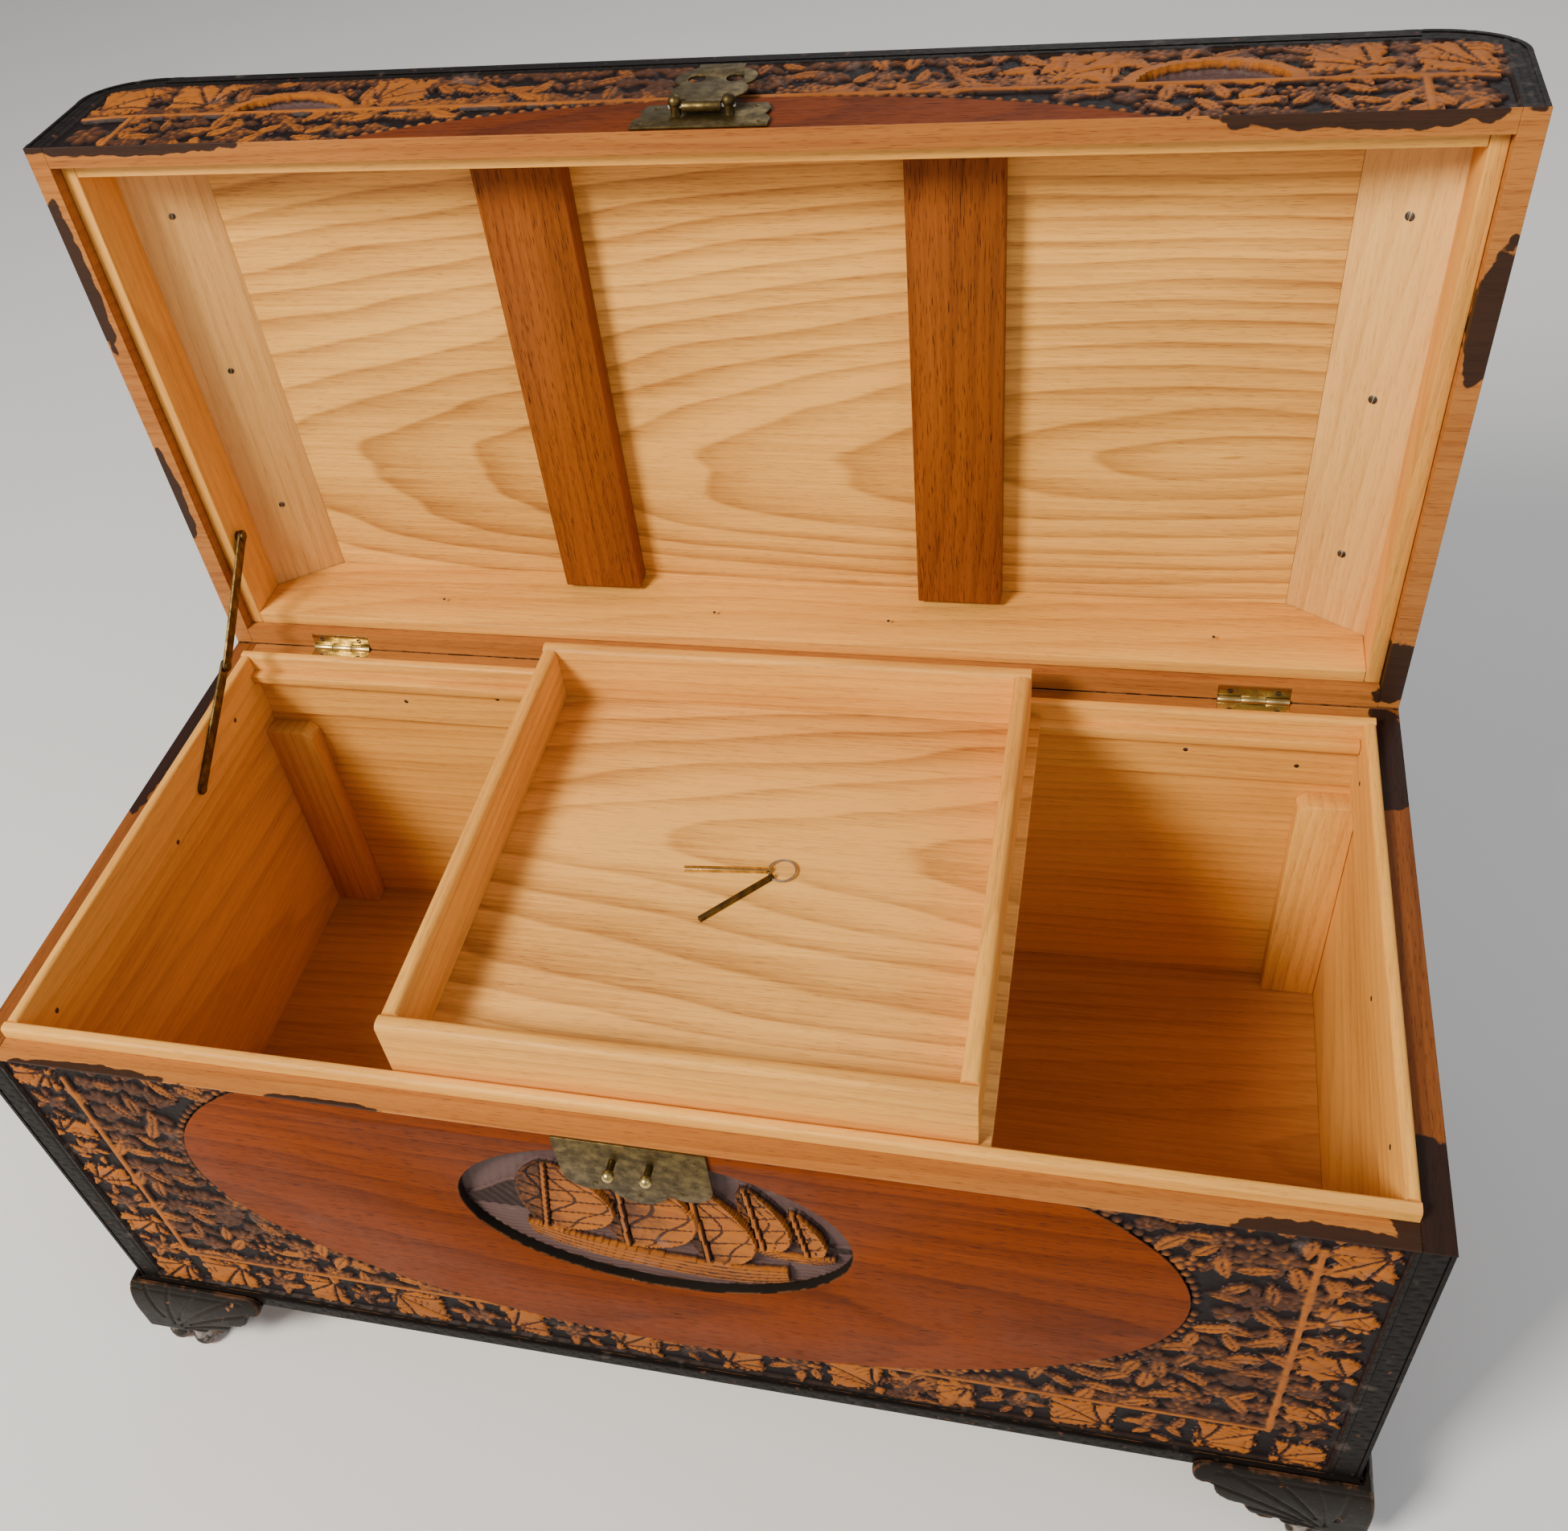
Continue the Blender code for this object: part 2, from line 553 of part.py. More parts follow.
def build_hasp(lid):
    """The hasp's plate and pin on the lid, and the flap, which turns about the pin."""
    right = [(0.046, 0.002), (0.046, 0.013), (0.0415, 0.019), (0.0440, 0.027), (0.040, 0.036)]
    outline = right + list(reversed(other_side(right)))
    face = DEPTH + JOINT_GAP
    plate = lid_prism(outline, (face, face + FITTING_THICKNESS))
    pin_z = lid_z(HASP_PIN_UP)
    pin_y = lid_y(DEPTH + HASP_PIN_OUT)
    tip_y = lid_y(DEPTH + HASP_POST_REACH)
    joined = []
    cut = []
    for x in (-HASP_POST_X, HASP_POST_X):
        joined.append(rod("Y", (x, pin_z), HASP_POST_RADIUS, (tip_y, lid_y(face + 0.0005)), 12))
        joined.append(ball((x, tip_y, pin_z), (HASP_BALL_RADIUS,) * 3, 12, 6))
        bore_x = (x - 2 * HASP_BALL_RADIUS, x + 2 * HASP_BALL_RADIUS)
        cut.append(rod("X", (pin_y, pin_z), HASP_BORE, bore_x, 12))
    add_piece("hasp_plate", carpentered(plate, joined=joined, cut=cut), AGED_BRASS, lid, True)

    pin_half = HASP_POST_X + HASP_POST_RADIUS + 0.001
    pin = rod("X", (pin_y, pin_z), HASP_PIN_RADIUS, (-pin_half, pin_half), 12)
    add_piece("hasp_pin", pin, STEEL, lid, True)

    hasp = new_empty("hasp_pin_axis", lid, (0, pin_y, pin_z))
    neck = HASP_SLEEVE_HALF
    right = [(neck, 0), (neck, 0.010)]
    right += arc((0.0135, 0.0235), (0.0125, 0.0125), -75, 48, 6)
    right += arc((0.0135, 0.0435), (0.0145, 0.0145), -38, 55, 6)
    right += [(0.016, 0.0600), (0.016, FLAP_LENGTH)]
    outline = right + list(reversed(other_side(right)))
    flap = prism(outline, "Y", (-FLAP_THICKNESS / 2, FLAP_THICKNESS / 2))
    sleeve = rod("X", (0, 0), HASP_SLEEVE_RADIUS, (-neck, neck), 16)
    cut = [rod("X", (0, 0), HASP_BORE, (-neck - 0.001, neck + 0.001), 12)]
    for x in (-STAPLE_X, STAPLE_X):
        cut.append(rod("Y", (x, STAPLE_FROM_PIN), FLAP_HOLE_RADIUS, (-0.005, 0.005), 20))
    add_piece("hasp_flap", carpentered(flap, joined=[sleeve], cut=cut), AGED_BRASS, hasp, True)


def stay_bar(length, heads, spacer=0.0):
    """A flat bar from its pivot along +Y, with round ends and a rivet head at each place in `heads`."""
    radius = STAY_BAR_WIDTH / 2
    outline = arc((0, 0), (radius, radius), 90, 270, 8) + arc((length, 0), (radius, radius), -90, 90, 8)
    bar = prism(outline, "X", (0, STAY_BAR_THICKNESS))
    head_x = (STAY_BAR_THICKNESS - 0.0005, STAY_BAR_THICKNESS + STAY_HEAD_HEIGHT)
    joined = [rod("X", (y, 0), STAY_HEAD_RADIUS, head_x, 12) for y in heads]
    if spacer:
        joined.append(rod("X", (0, 0), STAY_HEAD_RADIUS, (-spacer, 0.0005), 12))
    return carpentered(bar, joined=joined)


def build_stay(chest, lid):
    """Two bars: the lower one turns on the left rail, the upper one on the lid's left lining."""
    y, z = STAY_BODY_PIVOT
    reach = (STAY_ELBOW[0] - y, STAY_ELBOW[1] - z)
    lower = stay_bar(math.hypot(*reach), heads=[0])
    piece = add_piece("stay_lower_bar", lower, AGED_BRASS, chest, True)
    piece.location = (STAY_LOWER_X, HINGE_Y + y, HINGE_Z + z)
    piece.rotation_euler.x = math.atan2(reach[1], reach[0])

    y, z = STAY_LID_PIVOT
    reach = (STAY_ELBOW[0] - y, STAY_ELBOW[1] - z)
    length = math.hypot(*reach)
    upper_x = STAY_LOWER_X + STAY_BAR_THICKNESS + JOINT_GAP
    lining_face = -HALF_W + LINING_INSET + JOINT_GAP
    upper = stay_bar(length, heads=[0, length], spacer=upper_x - lining_face)
    piece = add_piece("stay_upper_bar", upper, AGED_BRASS, lid, True)
    piece.location = (upper_x, -z, y)
    piece.rotation_euler.x = math.atan2(reach[1], reach[0]) + LID_OPEN_ANGLE


def build_tray(tray):
    """The lift-out tray. Its empty stands in the middle of the chest, level with the rim."""
    inner = TRAY_HALF_DEPTH - TRAY_WALL
    floor = TRAY_FLOOR_ABOVE_RIM
    wall_z = (floor + JOINT_GAP, TRAY_ABOVE_RIM)
    long_x = (TRAY_LEFT, TRAY_RIGHT)
    short_y = (-inner + JOINT_GAP, inner - JOINT_GAP)
    walls = (
        ("tray_front", long_x, (-TRAY_HALF_DEPTH, -inner)),
        ("tray_back", long_x, (inner, TRAY_HALF_DEPTH)),
        ("tray_left", (TRAY_LEFT, TRAY_LEFT + TRAY_WALL), short_y),
        ("tray_right", (TRAY_RIGHT - TRAY_WALL, TRAY_RIGHT), short_y),
    )
    for name, x, y in walls:
        add_piece(name, box(x, y, wall_z), CAMPHOR, tray)
    bottom_x = (TRAY_LEFT, TRAY_RIGHT + TRAY_BOTTOM_PROUD)
    bottom_y = (-TRAY_HALF_DEPTH, TRAY_HALF_DEPTH)
    bottom = box(bottom_x, bottom_y, (floor - TRAY_BOTTOM_THICKNESS, floor))
    add_piece("tray_bottom", bottom, CAMPHOR, tray)


def build_keys(keys):
    """Two square bar keys on a wire ring. The empty is the ring's centre, at the keys' mid height."""
    half = KEY_SIDE / 2
    for name, angle in KEY_ANGLES.items():
        bar_end = -KEY_RING_RADIUS + 0.0022
        bar = box((bar_end - KEY_LENGTH, bar_end), (-half, half), (-half, half))
        hole = rod("Y", (-KEY_RING_RADIUS, 0), KEY_HOLE_RADIUS, (-0.01, 0.01), 12)
        piece = add_piece(name, carpentered(bar, cut=[hole]), BRASS, keys)
        piece.rotation_euler.z = angle
    ring = bmesh.new()
    section = bmesh.ops.create_circle(
        ring,
        segments=8,
        radius=KEY_WIRE_RADIUS,
        matrix=Matrix.Translation((KEY_RING_RADIUS, 0, 0)) @ Matrix.Rotation(math.pi / 2, 4, "X"),
    )
    edges = {edge for vert in section["verts"] for edge in vert.link_edges}
    bmesh.ops.spin(
        ring,
        geom=[*section["verts"], *edges],
        axis=(0, 0, 1),
        cent=(0, 0, 0),
        angle=math.tau,
        steps=24,
        use_merge=True,
    )
    bmesh.ops.remove_doubles(ring, verts=ring.verts, dist=0.00001)
    add_piece("key_ring", mesh_from(ring), STEEL, keys, True)


def build_chest():
    clear_scene()
    chest = new_empty("chest", None, (0, CHEST_Y, 0))
    lid = new_empty("lid_hinge_axis", chest, (0, HINGE_Y, HINGE_Z))
    lid.rotation_euler.x = -LID_OPEN_ANGLE
    tray = new_empty("tray_slide", chest, (0, 0, RIM))
    key_height = TRAY_FLOOR_ABOVE_RIM + JOINT_GAP + KEY_SIDE / 2
    keys = new_empty("keys_on_tray", tray, (*KEY_RING_CENTRE, key_height))
    build_walls(chest)
    build_inner_frame(chest)
    build_feet(chest)
    build_lock(chest)
    build_hinges(chest, lid)
    build_lid_shell(lid)
    build_lid_lining(lid)
    build_hasp(lid)
    build_stay(chest, lid)
    build_tray(tray)
    build_keys(keys)


build_chest()
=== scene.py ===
"""Looks of the carved camphor-wood chest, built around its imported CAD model.

The carved boards are height maps raised over each face, and the smooth ovals are plates let into them.
Face coordinates are u across and v up the face, and w out of it, all in metres.
"""

import math

import bmesh
import bpy
import numpy as np
from mathutils import Matrix, Vector


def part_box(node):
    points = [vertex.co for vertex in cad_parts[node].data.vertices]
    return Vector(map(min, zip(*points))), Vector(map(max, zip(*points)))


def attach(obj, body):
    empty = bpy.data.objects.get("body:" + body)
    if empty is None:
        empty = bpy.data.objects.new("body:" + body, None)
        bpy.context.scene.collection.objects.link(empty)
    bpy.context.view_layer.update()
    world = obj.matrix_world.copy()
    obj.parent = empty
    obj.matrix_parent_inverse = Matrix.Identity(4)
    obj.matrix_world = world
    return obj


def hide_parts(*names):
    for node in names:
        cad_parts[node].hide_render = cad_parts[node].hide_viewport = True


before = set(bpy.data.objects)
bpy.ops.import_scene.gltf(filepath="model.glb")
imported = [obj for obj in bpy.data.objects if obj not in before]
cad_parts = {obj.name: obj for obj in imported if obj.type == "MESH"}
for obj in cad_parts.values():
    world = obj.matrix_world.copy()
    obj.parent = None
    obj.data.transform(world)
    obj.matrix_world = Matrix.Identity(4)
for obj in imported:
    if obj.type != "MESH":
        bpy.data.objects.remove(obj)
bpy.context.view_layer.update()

# Places from the frame
front_low, front_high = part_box("front_board")
end_left_low, end_left_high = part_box("end_board_left")
lid_front_low, lid_front_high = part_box("lid_front")
chest_y = (end_left_low.y + end_left_high.y) / 2
rim = front_high.z
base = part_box("base_strip_front")[0].z
half_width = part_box("end_board_right")[1].x
half_depth = end_left_high.y - chest_y
front_y, back_y = chest_y - half_depth, chest_y + half_depth
lid_rim = lid_front_low.y
lid_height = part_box("lid_top")[1].y - lid_rim
lid_wall = lid_front_high.z - lid_front_low.z
lid_face = lid_front_high.z
lid_middle = lid_face - half_depth

# Carving
GROUND = 0.0032
SHEET_BACK = 0.0036
RIM_CAP = 0.0012
CAP_BEVEL = 0.0005
MOTIF_TOP = -0.0003
BEAD_TOP = -0.0006
FIELD_LEVEL = 0.0004
EDGE_BAND = 0.024
BRICK = 0.016
ROD_HALF = 0.0030
BLOCK_SPACE = 0.0035
FRONT_FIELD = ((0, base + 0.235), (0.362, 0.180))
FRONT_POCKET = ((0, base + 0.241), (0.1425, 0.0915))
POCKET_DEPTH = 0.0095
SAIL_LOW = -0.0070
SAIL_HIGH = -0.0012
FRONT_ROD_X = 0.430
FRONT_ROD_Z = 0.074
END_FIELD = ((0, base + 0.185), (0.145, 0.105))
SHOULDER_ACROSS = 0.060
SHOULDER_FROM = 0.082
LID_ROD = 0.052
LID_ROD_X = 0.438
LID_FIELD = ((0.018, -0.060), (0.3246, 0.109))
LID_HOLLOWS = (((-0.3145, LID_ROD), (0.0415, 0.028)), ((0.3165, LID_ROD), (0.0455, 0.031)))
HOLLOW_DEPTH = 0.0095
TOP_FIELD = ((0, 0), (0.300, 0.140))
TOP_POCKET = ((0, 0), FRONT_POCKET[1])

# Feet
FOOT_FULLEST = 0.060
TOE_SLIMMING = 0.6
TOE_FROM_CORNER = 0.013

# Colours, linear
GOLD_LIGHT = (0.88, 0.43, 0.080)
GOLD_DARK = (0.42, 0.155, 0.028)
RIM_LIGHT = (0.44, 0.165, 0.034)
RIM_DARK = (0.22, 0.055, 0.010)
BATTEN_LIGHT = (0.28, 0.078, 0.010)
BATTEN_DARK = (0.070, 0.014, 0.003)
FIELD_LIGHT = (0.205, 0.035, 0.0003)
FIELD_DARK = (0.045, 0.006, 0.0002)
STAIN_BLACK = (0.011, 0.007, 0.007)
STAIN_BROWN = (0.070, 0.028, 0.015)
STAIN_DUSTY = (0.105, 0.062, 0.056)
WORN_ORANGE = (0.38, 0.115, 0.014)
PAINT_BLACK = (0.008, 0.006, 0.005)
PAINT_GREY = (0.016, 0.012, 0.009)
CHIPPED_WOOD = (0.24, 0.095, 0.035)


# --- Materials -------------------------------------------------------------------------------------


class Look:
    """A material, with short names for adding the nodes of its shader."""

    def __init__(self, name, roughness=0.5, metallic=0.0, specular=0.3):
        self.material = bpy.data.materials.new(name)
        self.material.use_nodes = True
        self.tree = self.material.node_tree
        self.shader = self.tree.nodes["Principled BSDF"]
        self.set("Roughness", roughness)
        self.set("Metallic", metallic)
        self.set("Specular IOR Level", specular)
        self.place = self.add("ShaderNodeTexCoord").outputs["Object"]

    def link(self, socket, value):
        if isinstance(value, bpy.types.NodeSocket):
            self.tree.links.new(value, socket)
        elif isinstance(value, tuple) and len(socket.default_value) == 4 and len(value) == 3:
            socket.default_value = (*value, 1)
        else:
            socket.default_value = value

    def set(self, name, value):
        self.link(self.shader.inputs[name], value)

    def add(self, kind, inputs=(), **settings):
        node = self.tree.nodes.new(kind)
        for key, value in settings.items():
            setattr(node, key, value)
        for key, value in dict(inputs).items():
            self.link(node.inputs[key], value)
        return node

    def math(self, operation, a, b=0.0, clamp=False):
        return self.add("ShaderNodeMath", {0: a, 1: b}, operation=operation, use_clamp=clamp).outputs[0]

    def plus(self, value, other, share, clamp=False):
        """A value with a share of another one added."""
        return self.math("ADD", value, self.math("MULTIPLY", other, share), clamp)

    def vector(self, operation, a, b=(0.0, 0.0, 0.0)):
        return self.add("ShaderNodeVectorMath", {0: a, 1: b}, operation=operation).outputs

    def stretched(self, scale, offset=(0.0, 0.0, 0.0), vector=None):
        """Coordinates scaled by axis, so that a texture is stretched along one of them."""
        inputs = {"Vector": vector or self.place, "Scale": scale, "Location": offset}
        return self.add("ShaderNodeMapping", inputs).outputs[0]

    def noise(self, vector, scale=1.0, detail=3.0, roughness=0.5):
        inputs = {"Vector": vector, "Scale": scale, "Detail": detail, "Roughness": roughness}
        return self.add("ShaderNodeTexNoise", inputs).outputs[0]

    def between(self, value, low, high):
        """0 below low, 1 above high, and smooth between them."""
        inputs = {"Value": value, "From Min": low, "From Max": high}
        return self.add("ShaderNodeMapRange", inputs, interpolation_type="SMOOTHSTEP").outputs[0]

    def mix(self, factor, first, second):
        node = self.add("ShaderNodeMix", data_type="RGBA")
        self.link(node.inputs[0], factor)
        self.link(node.inputs[6], first)
        self.link(node.inputs[7], second)
        return node.outputs[2]

    def attribute(self, name):
        return self.add("ShaderNodeAttribute", attribute_name=name).outputs["Fac"]

    def bump(self, height, distance):
        """Adds fine relief of this height in metres to what is there already."""
        node = self.add("ShaderNodeBump", {"Height": height, "Distance": distance, "Strength": 1.0})
        before = self.shader.inputs["Normal"]
        if before.is_linked:
            self.link(node.inputs["Normal"], before.links[0].from_socket)
        self.link(before, node.outputs[0])


def grain_coordinates(look, along):
    """Coordinates whose X runs along the grain."""
    parts = look.add("ShaderNodeSeparateXYZ", {0: look.place}).outputs
    order = {"X": (0, 1, 2), "Y": (1, 0, 2), "Z": (2, 0, 1)}[along]
    joined = {i: parts[source] for i, source in enumerate(order)}
    return look.add("ShaderNodeCombineXYZ", joined).outputs[0]


def wood_colour(
    look, light, dark, along, pith, seed, ring_width=0.010, wander=0.035, flecks=0.5, contrast=0.34
):
    """Sawn wood: rings about a pith line beside the board, fibres and pores. Returns colour and fibre height.

    The pith is (distance across, distance across, slope of each across the board's length).
    """
    grain = look.stretched((1, 1, 1), (seed * 1.7, seed * 0.37, -seed * 0.53), grain_coordinates(look, along))
    parts = look.add("ShaderNodeSeparateXYZ", {0: grain_coordinates(look, along)}).outputs
    slow = {"Vector": look.stretched((1.6, 5, 5), vector=grain), "Scale": 1.0, "Detail": 3.0}
    drift = look.add("ShaderNodeTexNoise", slow).outputs["Color"]
    drifts = look.add("ShaderNodeSeparateXYZ", {0: drift}).outputs
    squares = []
    for axis in (0, 1):
        slope = look.math("MULTIPLY", parts[0], pith[2 + axis])
        distance = look.math("SUBTRACT", look.math("SUBTRACT", parts[1 + axis], pith[axis]), slope)
        moved = look.plus(distance, look.math("SUBTRACT", drifts[axis], 0.5), wander)
        squares.append(look.math("MULTIPLY", moved, moved))
    radius = look.math("SQRT", look.math("ADD", squares[0], squares[1]))
    uneven = look.noise(look.stretched((0.8, 14, 14), vector=grain), 1.0, 2.0)
    radius = look.plus(radius, uneven, ring_width * 1.6)
    ring = look.math("FRACT", look.math("DIVIDE", radius, ring_width))
    ring = look.math("MULTIPLY", look.math("POWER", ring, 2.2), look.between(ring, 1.0, 0.88))
    broad = look.math("FRACT", look.math("DIVIDE", radius, ring_width * 5.3))
    broad = look.math("SINE", look.math("MULTIPLY", broad, math.pi))
    fibre = look.noise(look.stretched((9, 420, 420), vector=grain), 1.0, 3.0, 0.6)
    pores = look.between(look.noise(look.stretched((75, 1500, 1500), vector=grain), 1.0, 1.0), 0.60, 0.72)
    clouds = look.noise(look.stretched((2.5, 7, 7), vector=grain), 1.0, 2.0)
    amount = look.plus(look.math("MULTIPLY", ring, contrast), broad, 0.20)
    for streaks in (fibre, clouds):
        amount = look.plus(amount, look.math("SUBTRACT", streaks, 0.5), 0.9)
    amount = look.plus(amount, pores, flecks * 0.5, clamp=True)
    return look.mix(amount, light, dark), look.math("SUBTRACT", fibre, pores)


def wood(name, light, dark, along, pith, seed, roughness=0.5, specular=0.25, **figure):
    look = Look(name, roughness, specular=specular)
    colour, fibre = wood_colour(look, light, dark, along, pith, seed, **figure)
    look.set("Base Color", colour)
    look.set("Roughness", look.plus(roughness - 0.12, look.noise(look.place, 30.0, 3.0), 0.25))
    look.bump(fibre, 0.00012)
    return look.material


def rim_wood(name, along, stains, seed, light=RIM_LIGHT, dark=RIM_DARK):
    """Oiled edges, with dark stain that has run over them in scalloped patches."""
    look = Look(name, 0.45, specular=0.15)
    colour, fibre = wood_colour(look, light, dark, along, (0.05, 0.04, 0.02, 0.0), seed, flecks=0.9)
    ragged = look.noise(look.place, 90.0, 3.0)
    scallops = look.add("ShaderNodeTexVoronoi", {"Vector": look.place, "Scale": 70.0}).outputs["Distance"]
    covered = None
    for centre, reach in stains:
        gap = look.vector("DIVIDE", look.vector("SUBTRACT", look.place, centre)[0], reach)[0]
        size = look.vector("LENGTH", gap)["Value"]
        inside = look.math("SUBTRACT", 1.0, size)
        covered = inside if covered is None else look.math("MAXIMUM", covered, inside)
    spread = look.plus(look.math("MULTIPLY", ragged, 0.5), scallops, 0.35)
    stained = look.between(look.math("SUBTRACT", covered, look.math("SUBTRACT", spread, 0.35)), 0.0, 0.06)
    stained = look.math("MULTIPLY", stained, 0.93)
    look.set("Base Color", look.mix(stained, colour, STAIN_BLACK))
    look.bump(fibre, 0.00012)
    look.bump(stained, 0.0002)
    return look.material


def carved_wood(name, along, seed):
    """Dark stain in the ground, worn through to orange wood on the high places."""
    look = Look(name, 0.5, specular=0.08)
    bare, fibre = wood_colour(look, WORN_ORANGE, (0.17, 0.05, 0.014), along, (0.05, 0.06, 0.0, 0.0), seed)
    high = look.attribute("high")
    worn = look.attribute("worn")
    paint = look.attribute("paint")
    patches = look.noise(look.place, 14.0, 4.0)
    fine = look.noise(look.place, 260.0, 3.0)
    wear = look.plus(look.math("MULTIPLY", patches, 0.55), fine, 0.35)
    rubbed = look.plus(look.math("MULTIPLY", high, 0.62), worn, 0.42)
    rubbed = look.between(look.math("ADD", rubbed, look.math("SUBTRACT", wear, 0.43)), 0.55, 0.85)
    stain = look.mix(look.between(high, 0.15, 0.7), STAIN_BLACK, STAIN_BROWN)
    dusty = look.math("MULTIPLY", look.between(worn, 0.3, 0.8), look.between(high, 0.35, 0.15))
    stain = look.mix(dusty, stain, STAIN_DUSTY)
    colour = look.mix(rubbed, stain, bare)
    chips = look.noise(look.place, 120.0, 5.0)
    kept = look.math("MULTIPLY", paint, look.math("SUBTRACT", 1.0, look.between(chips, 0.66, 0.70)))
    colour = look.mix(kept, colour, PAINT_BLACK)
    dust = look.math("MULTIPLY", look.between(look.noise(look.place, 45.0, 4.0), 0.62, 0.75), 0.18)
    colour = look.mix(dust, colour, (0.30, 0.22, 0.18))
    look.set("Base Color", colour)
    look.set("Roughness", look.plus(0.34, fine, 0.3))
    look.bump(fibre, 0.00010)
    look.bump(fine, 0.00015)
    return look.material


def black_paint(name, seed):
    """Old black paint with fine incised lines, worn to the wood along its edges."""
    look = Look(name, 0.4, specular=0.08)
    chips = look.noise(look.stretched((1, 1, 1), (seed, seed, 0)), 60.0, 6.0, 0.65)
    chipped = look.between(chips, 0.665, 0.69)
    smooth = look.add("ShaderNodeBevel", {"Radius": 0.003}, samples=4).outputs[0]
    plain = look.add("ShaderNodeNewGeometry").outputs["Normal"]
    turn = look.vector("DOT_PRODUCT", smooth, plain)["Value"]
    edge = look.between(look.math("SUBTRACT", 1.0, turn), 0.02, 0.10)
    rub = look.math("MULTIPLY", edge, look.between(chips, 0.44, 0.54))
    bare = look.math("MAXIMUM", chipped, rub)
    tone = look.noise(look.place, 9.0, 3.0)
    black = look.mix(tone, PAINT_BLACK, PAINT_GREY)
    look.set("Base Color", look.mix(bare, black, CHIPPED_WOOD))
    look.set("Roughness", look.plus(0.25, look.noise(look.place, 160.0), 0.3))
    look.bump(look.noise(look.stretched((12, 12, 12)), 40.0, 3.0), 0.00015)
    look.bump(bare, -0.0003)
    return look.material


def old_metal(name, colour, tarnish, amount, roughness, seed=0.0):
    """Metal with tarnish in soft clouds, fine scratches and a few dark specks."""
    look = Look(name, roughness, metallic=1.0)
    shifted = look.stretched((1, 1, 1), (seed, -seed, seed))
    clouds = look.noise(shifted, 120.0, 6.0, 0.6)
    specks = look.between(look.noise(shifted, 420.0, 2.0), 0.66, 0.74)
    scratches = look.noise(look.stretched((60, 60, 900), vector=shifted), 1.0, 2.0)
    clouded = look.between(clouds, amount - 0.22, amount + 0.22)
    dull = look.math("MINIMUM", look.plus(clouded, specks, 0.5), 1.0)
    look.set("Base Color", look.mix(dull, colour, tarnish))
    look.set("Roughness", look.plus(roughness - 0.08, dull, 0.22))
    look.bump(look.plus(look.math("MULTIPLY", scratches, 0.5), clouds, 0.6), 0.00012)
    return look.material


# --- Carving ---------------------------------------------------------------------------------------


class Face:
    """A flat face: its origin, the way that v runs and the way that it faces."""

    def __init__(self, origin, up, out):
        self.origin = np.array(origin, float)
        self.up = np.array(up, float)
        self.out = np.array(out, float)
        self.across = np.cross(self.up, self.out)

    def at(self, u, v, w):
        u, v, w = (np.asarray(value, float).reshape(-1, 1) for value in (u, v, w))
        return self.origin + u * self.across + v * self.up + w * self.out


class Relief:
    """A height map over a face. Levels are 0 at the face and negative below it."""

    def __init__(self, u_range, v_range, step, ground=GROUND):
        self.u = np.linspace(*u_range, round((u_range[1] - u_range[0]) / step) + 1)
        self.v = np.linspace(*v_range, round((v_range[1] - v_range[0]) / step) + 1)
        self.ground = ground
        shape = (len(self.v), len(self.u))
        self.level = np.full(shape, -ground)
        self.worn = np.zeros(shape)
        self.paint = np.zeros(shape)
        self.grid = np.meshgrid(self.u, self.v)

    def window(self, u, v, reach):
        """The part of the map within reach of a point, and its places measured from that point."""
        i0, i1 = np.searchsorted(self.u, (u - reach, u + reach))
        j0, j1 = np.searchsorted(self.v, (v - reach, v + reach))
        part = (slice(j0, j1), slice(i0, i1))
        return part, self.grid[0][part] - u, self.grid[1][part] - v

    def lift(self, part, level, worn, where=True):
        """Lifts part of the map to a level wherever that is higher than what is there."""
        higher = (level > self.level[part]) & where
        self.level[part] = np.where(higher, level, self.level[part])
        self.worn[part] = np.where(higher, worn, self.worn[part])

    def raise_part(self, part, shape, top, worn):
        """Raises part of the map to a motif, whose shape is 0 at the ground and 1 at its top."""
        self.lift(part, -self.ground + (self.ground + top) * shape, worn, shape > 0.02)

    def within(self, u_range, v_range):
        u, v = self.grid
        return (u >= u_range[0]) & (u <= u_range[1]) & (v >= v_range[0]) & (v <= v_range[1])


def flower(relief, u, v, radius, turn, petals):
    part, x, y = relief.window(u, v, radius)
    far = np.hypot(x, y) / radius
    lobe = np.abs(np.cos(petals * (np.arctan2(y, x) + turn) / 2))
    edge = 0.70 + 0.30 * np.sqrt(lobe)
    petal = 0.45 + 0.40 * lobe * np.sin(math.pi * np.clip(far, 0, 1)) ** 0.5
    body = np.clip(1 - (far / edge) ** 8, 0, 1) * petal
    button = np.clip(1 - (far / 0.26) ** 4, 0, 1)
    relief.raise_part(part, np.maximum(body, button), MOTIF_TOP, 0.4)


def leaf(relief, u, v, length, turn, worn=0.7):
    part, x, y = relief.window(u, v, length / 2)
    along = (x * math.cos(turn) + y * math.sin(turn)) / length + 0.5
    across = (y * math.cos(turn) - x * math.sin(turn)) / length
    across = across + 0.05 * np.sin(3 * along)
    inside = (along > 0) & (along < 1)
    half = 0.24 * np.sin(math.pi * np.clip(along, 0, 1) ** 0.8) * (1 + 0.14 * np.sin(44 * along)) + 1e-6
    blade = np.clip(1 - (np.abs(across) / half) ** 4, 0, 1) * inside
    rib = 0.40 * np.exp(-((across / 0.026) ** 2))
    veins = 0.16 * (0.5 + 0.5 * np.cos(2 * math.pi * (8 * along - 7 * np.abs(across))))
    relief.raise_part(part, blade * (0.95 - rib - veins), MOTIF_TOP, worn)


def beads(relief, places, radius):
    for u, v in places:
        part, x, y = relief.window(u, v, radius)
        dome = np.sqrt(np.clip(1 - (x**2 + y**2) / radius**2, 0, 1))
        relief.raise_part(part, dome, BEAD_TOP, 0.5)


